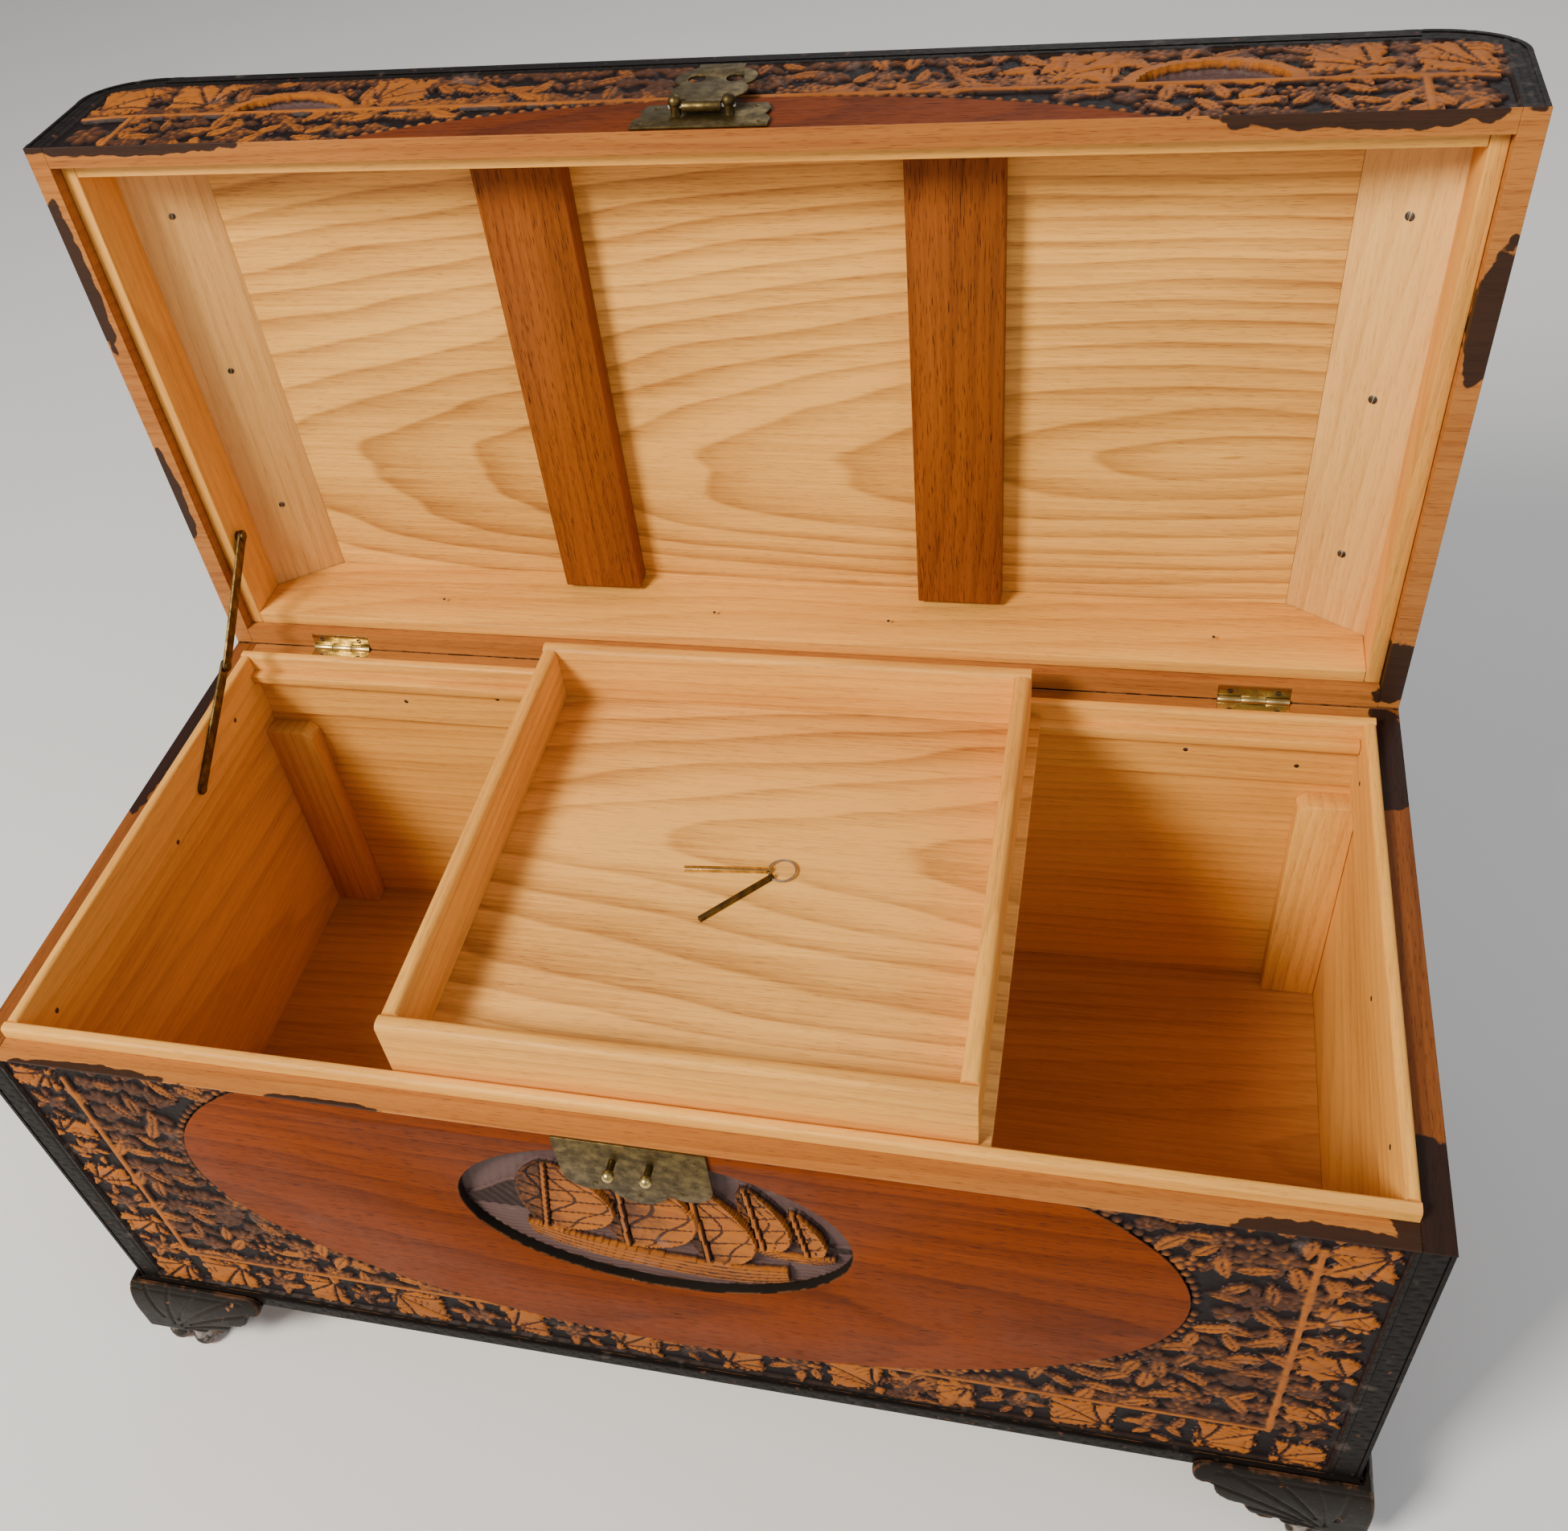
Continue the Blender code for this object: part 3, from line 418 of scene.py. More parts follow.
def foliage(relief, u_range, v_range, spacing, wanted, random):
    """Flowers, leaves and berries, close together over the places that are wanted."""
    rows = int((v_range[1] - v_range[0]) / (spacing * 0.87)) + 2
    columns = int((u_range[1] - u_range[0]) / spacing) + 2
    for row in range(rows):
        for column in range(columns):
            shift = random.uniform(-0.22, 0.22, 2) * spacing
            u = u_range[0] + (column + 0.5 * (row % 2)) * spacing + shift[0]
            v = v_range[0] + row * 0.87 * spacing + shift[1]
            turn, kind, size = random.uniform(0, math.tau), random.uniform(), random.uniform(0.85, 1.15)
            if not wanted(u, v):
                continue
            if kind < 0.30:
                flower(relief, u, v, spacing * 0.52 * size, turn, random.choice((5, 6)))
            elif kind < 0.42:
                ring = [turn + i * math.tau / 5 for i in range(5)]
                cluster = [(u + 0.3 * spacing * math.cos(a), v + 0.3 * spacing * math.sin(a)) for a in ring]
                beads(relief, [(u, v), *cluster], spacing * 0.17)
            else:
                leaf(relief, u, v, spacing * 1.35 * size, turn)
            leaf(relief, u + 0.5 * spacing, v, spacing * 0.8, turn + 1.1, worn=0.3)


def leaf_block(relief, u_range, v_range, turn, random):
    """A raised, rubbed leaf that fills a square, with ragged edges and dark veins cut deep into it."""
    middle = (sum(u_range) / 2, sum(v_range) / 2)
    reach = max(u_range[1] - u_range[0], v_range[1] - v_range[0]) / 2
    part, x, y = relief.window(*middle, reach)
    half_u = (u_range[1] - u_range[0]) / 2
    half_v = (v_range[1] - v_range[0]) / 2
    phase = random.uniform(0, math.tau, 3)
    ripple = 0.0022 * np.sin(x * 330 + phase[0]) * np.cos(y * 290 + phase[1])
    ripple += 0.0014 * np.sin((x + y) * 760 + phase[2])
    inside = np.minimum(half_u - np.abs(x), half_v - np.abs(y)) + ripple - 0.0014
    slab = np.clip(inside / 0.0016, 0, 1)
    stem_u, stem_v = -half_u * math.cos(turn), -half_v * math.sin(turn)
    angle = np.arctan2(y - stem_v, x - stem_u)
    far = np.hypot(x - stem_u, y - stem_v)
    lines = np.zeros_like(slab)
    for i in range(-3, 4):
        way = turn + i * 0.40 + random.uniform(-0.08, 0.08)
        bend = way + (5.5 * i + random.uniform(-4, 4)) * far
        off = far * np.sin(angle - bend)
        lines = np.maximum(lines, np.exp(-((off / 0.0012) ** 2)) * (far > 0.003) * (np.cos(angle - bend) > 0))
    strokes = np.clip(1.7 * np.sin(far * 1150 + 3 * np.sin(5 * angle + phase[0])) - 0.7, 0, 1)
    strokes = strokes * (np.sin(x * 190 + phase[1]) * np.sin(y * 170 + phase[2]) > 0.05)
    cut = np.maximum(lines, 0.6 * strokes)
    relief.raise_part(part, slab * (1 - 0.80 * cut), -0.0002, 1 - cut)


def block_band(relief, u_range, v_range, count, random):
    """A border of leaf blocks and flower blocks by turns, along the longer way."""
    wide = u_range[1] - u_range[0] > v_range[1] - v_range[0]
    first, last = u_range if wide else v_range
    shares = np.cumsum(random.uniform(0.75, 1.25, count))
    ends = [first, *(first + (last - first) * shares / shares[-1])]
    for i, (low, high) in enumerate(zip(ends, ends[1:])):
        space = (low + BLOCK_SPACE / 2, high - BLOCK_SPACE / 2)
        u, v = (space, v_range) if wide else (u_range, space)
        if i % 2 == 0:
            leaf_block(relief, u, v, random.choice((0.7, 2.4, 3.9, 5.5)), random)
            continue
        if not 0.7 < (u[1] - u[0]) / (v[1] - v[0]) < 1.5:
            foliage(relief, u, v, 0.015, everywhere, random)
        size = min(u[1] - u[0], v[1] - v[0])
        across = max(1, round((u[1] - u[0]) / size))
        upward = max(1, round((v[1] - v[0]) / size))
        for column in range(across):
            for row in range(upward):
                centre_u = u[0] + (column + 0.5) * (u[1] - u[0]) / across
                centre_v = v[0] + (row + 0.5) * (v[1] - v[0]) / upward
                start = random.uniform(0, math.tau)
                for k in range(6):
                    way = start + k * math.tau / 6 + random.uniform(-0.3, 0.3)
                    reach = size * random.uniform(0.32, 0.46)
                    turn = way + random.uniform(-0.9, 0.9)
                    place = (centre_u + reach * math.cos(way), centre_v + reach * math.sin(way))
                    leaf(relief, *place, size * random.uniform(0.38, 0.55), turn)
                bloom = [centre + size * random.uniform(-0.12, 0.12) for centre in (centre_u, centre_v)]
                flower(relief, *bloom, size * random.uniform(0.26, 0.34), start, 6)


def around(centre):
    """The width that a rod takes."""
    return centre - ROD_HALF, centre + ROD_HALF


def everywhere(u, v):
    return True


def rod(relief, u_range, v_range):
    """A half-round moulding along its longer way, with a dark groove on each side."""
    u, v = relief.grid
    wide = u_range[1] - u_range[0] > v_range[1] - v_range[0]
    across = v - sum(v_range) / 2 if wide else u - sum(u_range) / 2
    within = relief.within(u_range, v_range)
    shape = np.sqrt(np.clip(1 - (across / ROD_HALF) ** 2, 0, 1))
    level = -0.0016 + 0.0014 * shape
    relief.level = np.where(within, np.where(shape > 0, level, -relief.ground), relief.level)
    relief.worn = np.where(within, 0.75 * shape, relief.worn)


def painted_band(relief, u_range, v_range, pitch=BRICK):
    """A flat black band with incised lines across it, like courses of thin bricks."""
    u, v = relief.grid
    within = relief.within(u_range, v_range)
    wide = u_range[1] - u_range[0] > v_range[1] - v_range[0]
    along, across = (u, v) if wide else (v, u)
    low, high = v_range if wide else u_range
    course = np.floor((across - low) / (high - low) * 3)
    joint = np.abs(((along / pitch + 0.37 * course) % 1) - 0.5) < 0.055
    thirds = np.abs((((across - low) / (high - low) * 3) % 1) - 0.5) > 0.44
    cut = np.where(joint | thirds, 0.0005, 0.0)
    relief.level = np.where(within, -0.0003 - cut, relief.level)
    relief.worn = np.where(within, 0.0, relief.worn)
    relief.paint = np.where(within, 1.0, relief.paint)


def ellipse_radius(u, v, ellipse):
    """1 on an ellipse's edge, less inside it."""
    (centre_u, centre_v), (radius_u, radius_v) = ellipse
    return np.hypot((u - centre_u) / radius_u, (v - centre_v) / radius_v)


def on_ellipse(ellipse, angle):
    (centre_u, centre_v), (radius_u, radius_v) = ellipse
    return centre_u + radius_u * math.cos(angle), centre_v + radius_v * math.sin(angle)


def bead_ring(relief, ellipse, spacing, radius):
    """A string of beads just outside an ellipse."""
    (centre, (radius_u, radius_v)) = ellipse
    outer = (centre, (radius_u + radius, radius_v + radius))
    walked, last = 0.0, on_ellipse(outer, 0)
    places = []
    for i in range(1, 2000):
        point = on_ellipse(outer, i * math.tau / 2000)
        walked += math.dist(point, last)
        last = point
        if walked >= spacing:
            walked = 0.0
            places.append(point)
    beads(relief, places, radius)


def finished(shape, name, sharp=None, smooth=True):
    """The mesh of a bmesh, shaded smooth, except at edges past a sharp angle in degrees."""
    mesh = bpy.data.meshes.new(name)
    shape.to_mesh(mesh)
    shape.free()
    if smooth:
        mesh.shade_smooth()
    if sharp:
        mesh.set_sharp_from_angle(angle=math.radians(sharp))
    return mesh


def new_piece(name, mesh, material, body, replaced=()):
    """A new piece in the row frame that rides on a body."""
    mesh.materials.append(material)
    piece = bpy.data.objects.new(name, mesh)
    bpy.context.scene.collection.objects.link(piece)
    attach(piece, body)
    if replaced:
        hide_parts(*replaced)
    return piece


def cut_oval(u, v, kept, middles, ellipse, inside):
    """Takes the cells in or out of an ellipse from those kept, and moves corners along the cut onto it."""
    in_oval = ellipse_radius(*middles, ellipse) < 1
    cut = ~in_oval if inside else in_oval
    kept &= ~cut
    rows, columns = u.shape
    touched = np.zeros(u.shape, bool)
    removed = np.zeros(u.shape, bool)
    for j in (0, 1):
        for i in (0, 1):
            touched[j : rows - 1 + j, i : columns - 1 + i] |= kept
            removed[j : rows - 1 + j, i : columns - 1 + i] |= cut
    edge = touched & removed
    far = ellipse_radius(u[edge], v[edge], ellipse)
    (centre_u, centre_v), _ = ellipse
    u[edge] = centre_u + (u[edge] - centre_u) / far
    v[edge] = centre_v + (v[edge] - centre_v) / far


def skirt_walls(faces, total):
    """Walls down from each edge that only one cell has, to lowered corners numbered on from the total.

    Returns the walls, with the lowered corners numbered closely, and which corners are lowered.
    """
    ends = np.concatenate([faces[:, [0, 1]], faces[:, [1, 2]], faces[:, [2, 3]], faces[:, [3, 0]]])
    _, first, count = np.unique(np.sort(ends, axis=1), axis=0, return_index=True, return_counts=True)
    a, b = ends[first[count == 1]].T
    lowered = np.unique([a, b])
    number = np.arange(2 * total)
    number[lowered + total] = total + np.arange(len(lowered))
    return number[np.stack([b, a, a + total, b + total], -1)], lowered


def relief_mesh(name, relief, at, ellipse=None, inside=False, skirt=SHEET_BACK):
    """The height map as a sheet, in or out of an ellipse, with a skirt down to a flat back level."""
    u, v = (grid.copy() for grid in relief.grid)
    rows, columns = u.shape
    middles = [(grid[1:, 1:] + grid[:-1, :-1]) / 2 for grid in (u, v)]
    kept = np.ones(middles[0].shape, bool)
    if ellipse:
        cut_oval(u, v, kept, middles, ellipse, inside)
    corner = np.arange(rows * columns).reshape(rows, columns)
    cells = np.stack([corner[:-1, :-1], corner[:-1, 1:], corner[1:, 1:], corner[1:, :-1]], -1)[kept]
    used, faces = np.unique(cells, return_inverse=True)
    faces = faces.reshape(-1, 4)
    walls, lowered = skirt_walls(faces, len(used))
    points = at(u.ravel()[used], v.ravel()[used], relief.level.ravel()[used])
    flat = at(u.ravel()[used], v.ravel()[used], np.full(len(used), -skirt))
    mesh = bpy.data.meshes.new(name)
    points = np.concatenate([points, flat[lowered]])
    mesh.from_pydata(points.tolist(), [], np.concatenate([faces, walls]).tolist())
    high = np.clip(1 + relief.level / relief.ground, 0, 1)
    for key, values in (("high", high), ("worn", relief.worn), ("paint", relief.paint)):
        chosen = values.ravel()[used]
        stored = mesh.attributes.new(key, "FLOAT", "POINT")
        stored.data.foreach_set("value", np.concatenate([chosen, chosen[lowered]]).astype(np.float32))
    mesh.shade_smooth()
    mesh.set_sharp_from_angle(angle=math.radians(50))
    return mesh


def oval_outline(ellipse, lowest=-1.0, highest=1.0, steps=120):
    """An ellipse's outline, cut straight where it passes a lowest or a highest level."""
    points = [on_ellipse(ellipse, i * math.tau / steps) for i in range(steps)]
    points = [(u, min(max(v, lowest), highest)) for u, v in points]
    free = [lowest < v < highest for _, v in points]
    return [point for i, point in enumerate(points) if free[i] or free[i - 1] or free[(i + 1) % steps]]


def plate_mesh(name, outline, at, hole=(), level=-FIELD_LEVEL, back=-SHEET_BACK, bevel=0.0006):
    """A flat plate let into a face, with an optional hole and a small bevel round its edges."""
    shape = bmesh.new()
    for loop in (outline, hole):
        if not loop:
            continue
        u, v = zip(*loop)
        corners = [shape.verts.new(point) for point in at(u, v, np.full(len(u), level))]
        for a, b in zip(corners, corners[1:] + corners[:1]):
            shape.edges.new((a, b))
    bmesh.ops.triangle_fill(shape, edges=shape.edges[:], use_beauty=True)
    bmesh.ops.dissolve_limit(shape, angle_limit=0.01, verts=shape.verts, edges=shape.edges)
    out = Vector((at([0], [0], [1]) - at([0], [0], [0]))[0])
    pushed = bmesh.ops.extrude_face_region(shape, geom=shape.faces[:], use_keep_orig=True)
    moved = [item for item in pushed["geom"] if isinstance(item, bmesh.types.BMVert)]
    bmesh.ops.translate(shape, verts=moved, vec=out * (back - level))
    bmesh.ops.recalc_face_normals(shape, faces=shape.faces)
    front = [face for face in shape.faces if face.normal.dot(out) > 0.9]
    edges = {edge for face in front for edge in face.edges if len(edge.link_faces) == 2}
    sharp = [edge for edge in edges if edge.calc_face_angle(0) > 0.5]
    bmesh.ops.bevel(shape, geom=sharp, offset=bevel, segments=2, profile=0.6, affect="EDGES")
    return finished(shape, name, 40)


def oval_piece(name, mesh, at, body, material):
    """A polished oval whose side walls are black."""
    piece = new_piece(name, mesh, material, body)
    mesh.materials.append(paint)
    out = Vector((at([0], [0], [1]) - at([0], [0], [0]))[0])
    for polygon in mesh.polygons:
        polygon.material_index = int(polygon.normal.dot(out) < 0.3)
    return piece


def block_shape(low, high):
    shape = bmesh.new()
    size = [b - a for a, b in zip(low, high)]
    place = Matrix.Translation([(a + b) / 2 for a, b in zip(low, high)]) @ Matrix.Diagonal((*size, 1))
    bmesh.ops.create_cube(shape, size=1, matrix=place)
    return shape


def block_piece(name, low, high, material, body="chest_body", bevel=0.0, replaced=()):
    """A plain block under the carving or along an edge."""
    shape = block_shape(low, high)
    if bevel:
        bmesh.ops.bevel(shape, geom=shape.edges[:], offset=bevel, segments=2, profile=0.5, affect="EDGES")
    return new_piece(name, finished(shape, name, smooth=False), material, body, replaced)


# --- Boards ----------------------------------------------------------------------------------------

# Stains: the middle and the half size of each patch that has run over an edge
TOP_STAINS = (
    ((-0.40, front_y, rim), (0.07, 0.007, 0.03)),
    ((-0.22, front_y, rim), (0.05, 0.004, 0.03)),
    ((0.43, front_y, rim), (0.06, 0.012, 0.03)),
    ((0.49, front_y + 0.03, rim), (0.03, 0.06, 0.03)),
    ((0.49, back_y - 0.05, rim), (0.02, 0.06, 0.03)),
    ((-0.497, chest_y + 0.10, rim), (0.012, 0.10, 0.03)),
)
LID_STAINS = (
    ((0.40, lid_rim, lid_front_high.z), (0.10, 0.03, 0.012)),
    ((-0.42, lid_rim, lid_front_high.z), (0.10, 0.03, 0.008)),
    ((0.495, lid_rim, lid_front_high.z - 0.13), (0.014, 0.03, 0.055)),
    ((0.492, lid_rim, lid_front_low.z - 0.41), (0.022, 0.03, 0.035)),
    ((-0.496, lid_rim, lid_front_high.z - 0.10), (0.009, 0.03, 0.07)),
    ((-0.497, lid_rim, lid_front_high.z - 0.30), (0.007, 0.03, 0.05)),
)

CAMPHOR = {
    "long": wood("camphor_long", GOLD_LIGHT, GOLD_DARK, "X", (0.09, 0.05, 0.05, 0.03), 1),
    "deep": wood("camphor_deep", GOLD_LIGHT, GOLD_DARK, "Y", (0.07, 0.12, 0.06, 0.05), 2),
    "tall": wood("camphor_tall", GOLD_LIGHT, GOLD_DARK, "Z", (0.06, 0.08, 0.03, 0.05), 3),
}
carving = carved_wood("carved_camphor", "X", 4)
field_wood, end_field_wood = (
    wood(
        name, FIELD_LIGHT, FIELD_DARK, along, (0.16, 0.20, 0.04, 0.05), seed, 0.40, 0.04,
        contrast=0.42, flecks=1.7,
    )
    for name, along, seed in (("polished_oval", "X", 5), ("polished_end_oval", "Y", 15))
)
plain_stain = wood(
    "plain_stained_board", (0.085, 0.030, 0.013), (0.025, 0.011, 0.007), "X", (0.1, 0.06, 0.0, 0.0), 6
)
body_rim = rim_wood("body_rim_wood", "X", TOP_STAINS, 7)
side_rim = rim_wood("side_rim_wood", "Y", TOP_STAINS, 17, (0.25, 0.075, 0.014), (0.07, 0.018, 0.004))
lid_rim_wood = rim_wood("lid_rim_wood", "X", LID_STAINS, 8)
paint = black_paint("black_paint", 1)
brass_dark = old_metal("aged_brass", (0.19, 0.130, 0.042), (0.070, 0.048, 0.019), 0.47, 0.44)
brass_light = old_metal("yellow_brass", (0.66, 0.50, 0.20), (0.26, 0.19, 0.07), 0.56, 0.33, 2.0)
steel = old_metal("grey_steel", (0.52, 0.51, 0.49), (0.22, 0.20, 0.18), 0.55, 0.36, 4.0)
screw_metal = old_metal("dark_screws", (0.16, 0.15, 0.14), (0.05, 0.045, 0.04), 0.5, 0.45, 6.0)


def dress(node, material, bevel=0.0):
    """Gives a CAD node its material and, where asked, softer edges."""
    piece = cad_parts[node]
    piece.data.materials.clear()
    piece.data.materials.append(material)
    if bevel:
        weld = piece.modifiers.new("weld", "WELD")
        weld.merge_threshold = 0.00002
        soft = piece.modifiers.new("soft edges", "BEVEL")
        soft.width = bevel
        soft.segments = 2
        soft.limit_method = "ANGLE"
        soft.angle_limit = math.radians(40)
        soft.harden_normals = False
    piece.data.shade_smooth()
    piece.data.set_sharp_from_angle(angle=math.radians(35))
    return piece


def dress_sides(node, inner, outer, top, faces_out, faces_up):
    """A board with a bare inner face, a stained outer face and an oiled edge."""
    piece = dress(node, inner)
    piece.data.materials.append(outer)
    piece.data.materials.append(top)
    for polygon in piece.data.polygons:
        if polygon.normal.dot(Vector(faces_out)) > 0.7:
            polygon.material_index = 1
        elif polygon.normal.dot(Vector(faces_up)) > 0.7:
            polygon.material_index = 2
    return piece


def sail(relief, u, v, width, height, lean, ribs):
    """A tall pointed sail with a mast down it, veined by its battens and cords, and raised on its right."""
    part, x, y = relief.window(u, v, height)
    t = np.clip(y / height, 0, 1)
    x = x - lean * y
    full = np.sin(math.pi * t**0.75) ** 0.7 + 0.10
    right = width * 0.62 * full
    left = -width * 0.40 * full * (0.4 + 0.6 * t)
    edge = np.minimum(np.minimum(x - left, right - x), np.minimum(y, height - y))
    slope = SAIL_LOW + (SAIL_HIGH - SAIL_LOW) * np.clip(0.35 + 0.65 * x / (0.62 * width), 0, 1)
    battens = np.abs(((ribs * t - 1.3 * np.abs(x) / width) % 1) - 0.5) < 0.055
    cords = np.abs(((x / (width * full) * 3.2 + 0.4 * np.sin(9 * t)) % 1) - 0.5) < 0.050
    cloth = slope - 0.0010 * (battens | cords)
    border = edge < 0.0022
    cloth = np.where(border, slope + 0.0004, cloth)
    mast = np.abs(x) < 0.0017
    groove = (np.abs(x) < 0.0030) & ~mast
    cloth = np.where(groove, cloth - 0.0012, np.where(mast, np.maximum(slope, SAIL_LOW + 0.0042), cloth))
    dark = groove | ((battens | cords) & ~mast & ~border)
    relief.lift(part, np.where(edge > 0, cloth, -1), np.where(dark, 0.0, 0.92))


def hull(relief, u, v, length, height, tilt, top=-0.0018):
    """A long hull with raised ends and lines of planks."""
    part, x, y = relief.window(u, v, length * 0.6)
    y = y - tilt * x
    along = x / (length / 2)
    deck = height * (0.30 + 0.70 * along**2)
    keel = -height * (1 - np.abs(along) ** 3)
    inside = (np.abs(along) < 1) & (y < deck) & (y > keel)
    span = (y - keel) / (deck - keel + 1e-6)
    planks = np.cos(math.tau * 4 * span) < -0.72
    level = top - 0.0022 * (1 - span) - 0.0009 * planks
    relief.lift(part, np.where(inside, level, -1), np.where(planks, 0.1, 0.95))


def boats_relief(pocket):
    """Two boats under sail on open water, with a hill behind them."""
    (centre_u, centre_v), (radius_u, radius_v) = pocket
    relief = Relief(
        (centre_u - radius_u - 0.002, centre_u + radius_u + 0.002),
        (centre_v - radius_v - 0.002, centre_v + radius_v + 0.002),
        0.0012,
        ground=POCKET_DEPTH,
    )
    u, v = relief.grid
    rise = v - centre_v
    water = rise < -0.012 + 0.006 * np.sin(u * 30)
    waves = np.sin(v * 1300 + 2.2 * np.sin(u * 95) + 1.5 * np.sin(u * 41))
    sky = np.sin(u * 900 + 3.0 * np.sin(v * 60)) * 0.00012
    relief.level = np.where(water, -POCKET_DEPTH + 0.0008 + 0.0005 * waves, -POCKET_DEPTH + 0.0003 + sky)
    peaks = ((0.030, 0.095, 0.030), (0.018, 0.055, 0.022))
    hill = sum(height * np.exp(-(((u + left) / width) ** 2)) for height, left, width in peaks) - 0.006
    land = (rise > -0.014) & (rise < hill)
    strokes = 0.0004 * np.sin(u * 700 + v * 500)
    relief.level = np.where(land, -0.0068 + strokes, relief.level)
    relief.worn[:] = np.where(land, 0.55, 0.80)
    hull(relief, centre_u - 0.002, centre_v - 0.052, 0.190, 0.019, -0.10)
    hull(relief, centre_u + 0.098, centre_v - 0.024, 0.062, 0.009, -0.06, -0.003)
    for right, down, width, height, lean, ribs in (
        (-0.084, 0.032, 0.076, 0.090, 0.16, 6),
        (-0.024, 0.042, 0.080, 0.118, 0.06, 7),
        (0.036, 0.050, 0.058, 0.106, -0.04, 6),
        (0.078, 0.020, 0.036, 0.080, -0.08, 5),
        (0.109, 0.020, 0.026, 0.056, -0.12, 4),
    ):
        sail(relief, centre_u + right, centre_v - down, width, height, lean, ribs)
    return relief


def carved_panel(relief, field, rods, gap, edge, foliage_low, counts, seed):
    """An upright board's carving: foliage round its oval, rods, a border of blocks and black ends.

    `rods` gives the upright rods' middle, and where the foliage and the long rod end. `counts` is how
    many blocks there are along the foot and up each side.
    """
    random = np.random.RandomState(seed)
    centre, inner, outer = rods
    reach, low, top = relief.u[-1], relief.v[0], relief.v[-1]
    block_high = base + FRONT_ROD_Z - 0.005
    tall = (low + 0.002, top - 0.003)

    def outside(u, v):
        return ellipse_radius(u, v, field) > 1.02

    foliage(relief, (-inner, inner), (foliage_low, top), 0.022, outside, random)
    block_band(relief, (-inner, inner), (low + 0.008, block_high), counts[0], random)
    block_band(relief, (-edge + 0.002, -outer - gap), tall, counts[1], random)
    block_band(relief, (outer + gap, edge - 0.002), tall, counts[1], random)
    rod(relief, (-outer, outer), (block_high, block_high + 2 * ROD_HALF))
    for u in (-centre, centre):
        rod(relief, around(u), (block_high, top - 0.012))
    bead_ring(relief, field, 0.0085, 0.0036)
    for band in ((-reach, -edge), (edge, reach)):
        painted_band(relief, band, (low, top))


def boats_oval(name, outline, pocket, at, body, plate_back, skirt):
    """A polished oval with the boats sunk in its middle."""
    hole = [on_ellipse(pocket, i * math.tau / 96) for i in range(96)]
    plate = plate_mesh(f"{name}_oval", outline, at, hole, back=-plate_back)
    oval_piece(f"{name}_oval", plate, at, body, field_wood)
    boats = relief_mesh(f"{name}_boats", boats_relief(pocket), at, ellipse=pocket, inside=True, skirt=skirt)
    new_piece(f"{name}_boats", boats, carving, body)


def front_of_chest():
    at = Face((0, front_low.y, 0), (0, 0, 1), (0, -1, 0)).at
    low, high = front_low, front_high
    top = high.z - RIM_CAP
    relief = Relief((low.x, high.x), (low.z, top), 0.0017)
    edge = half_width - EDGE_BAND
    rods = (FRONT_ROD_X, FRONT_ROD_X - ROD_HALF, FRONT_ROD_X + ROD_HALF)
    carved_panel(relief, FRONT_FIELD, rods, 0.002, edge, base + FRONT_ROD_Z + 0.006, (19, 9), 11)
    painted_band(relief, (low.x, high.x), (low.z, low.z + 0.006))
    mesh = relief_mesh("front_carving", relief, at, ellipse=FRONT_FIELD)
    new_piece("front_carving", mesh, carving, "chest_body", ["front_board"])

    outline = oval_outline(FRONT_FIELD, highest=top)
    boats_oval("front", outline, FRONT_POCKET, at, "chest_body", POCKET_DEPTH + 0.0002, POCKET_DEPTH + 0.0004)

    core_low = (low.x, low.y + POCKET_DEPTH + 0.0004, low.z)
    block_piece("front_core", core_low, (high.x, high.y, top), CAMPHOR["long"])
    block_piece("front_core_band", (low.x, low.y + SHEET_BACK, top - 0.004), (high.x, high.y, top), body_rim)
    block_piece("front_rim", (low.x, low.y, top), high, body_rim, bevel=CAP_BEVEL)


front_of_chest()


def banded_edges(name, low, high, ways):
    """Black sheets with incised courses on a block's upright faces, for each way given as (axis, sign)."""
    for axis, sign in ways:
        other = 1 - axis
        origin = [0, 0, 0]
        origin[axis] = high[axis] if sign > 0 else low[axis]
        origin[other] = (low[other] + high[other]) / 2
        out = [0, 0, 0]
        out[axis] = sign
        half = (high[other] - low[other]) / 2
        face = Face(origin, (0, 0, 1), out)
        relief = Relief((-half, half), (low[2], high[2]), 0.0015)
        painted_band(relief, (-half, half), (low[2], high[2]))
        sheet = f"{name}_{'xy'[axis]}{'np'[sign > 0]}"
        mesh = relief_mesh(sheet, relief, face.at)
        new_piece(sheet, mesh, carving, "chest_body")


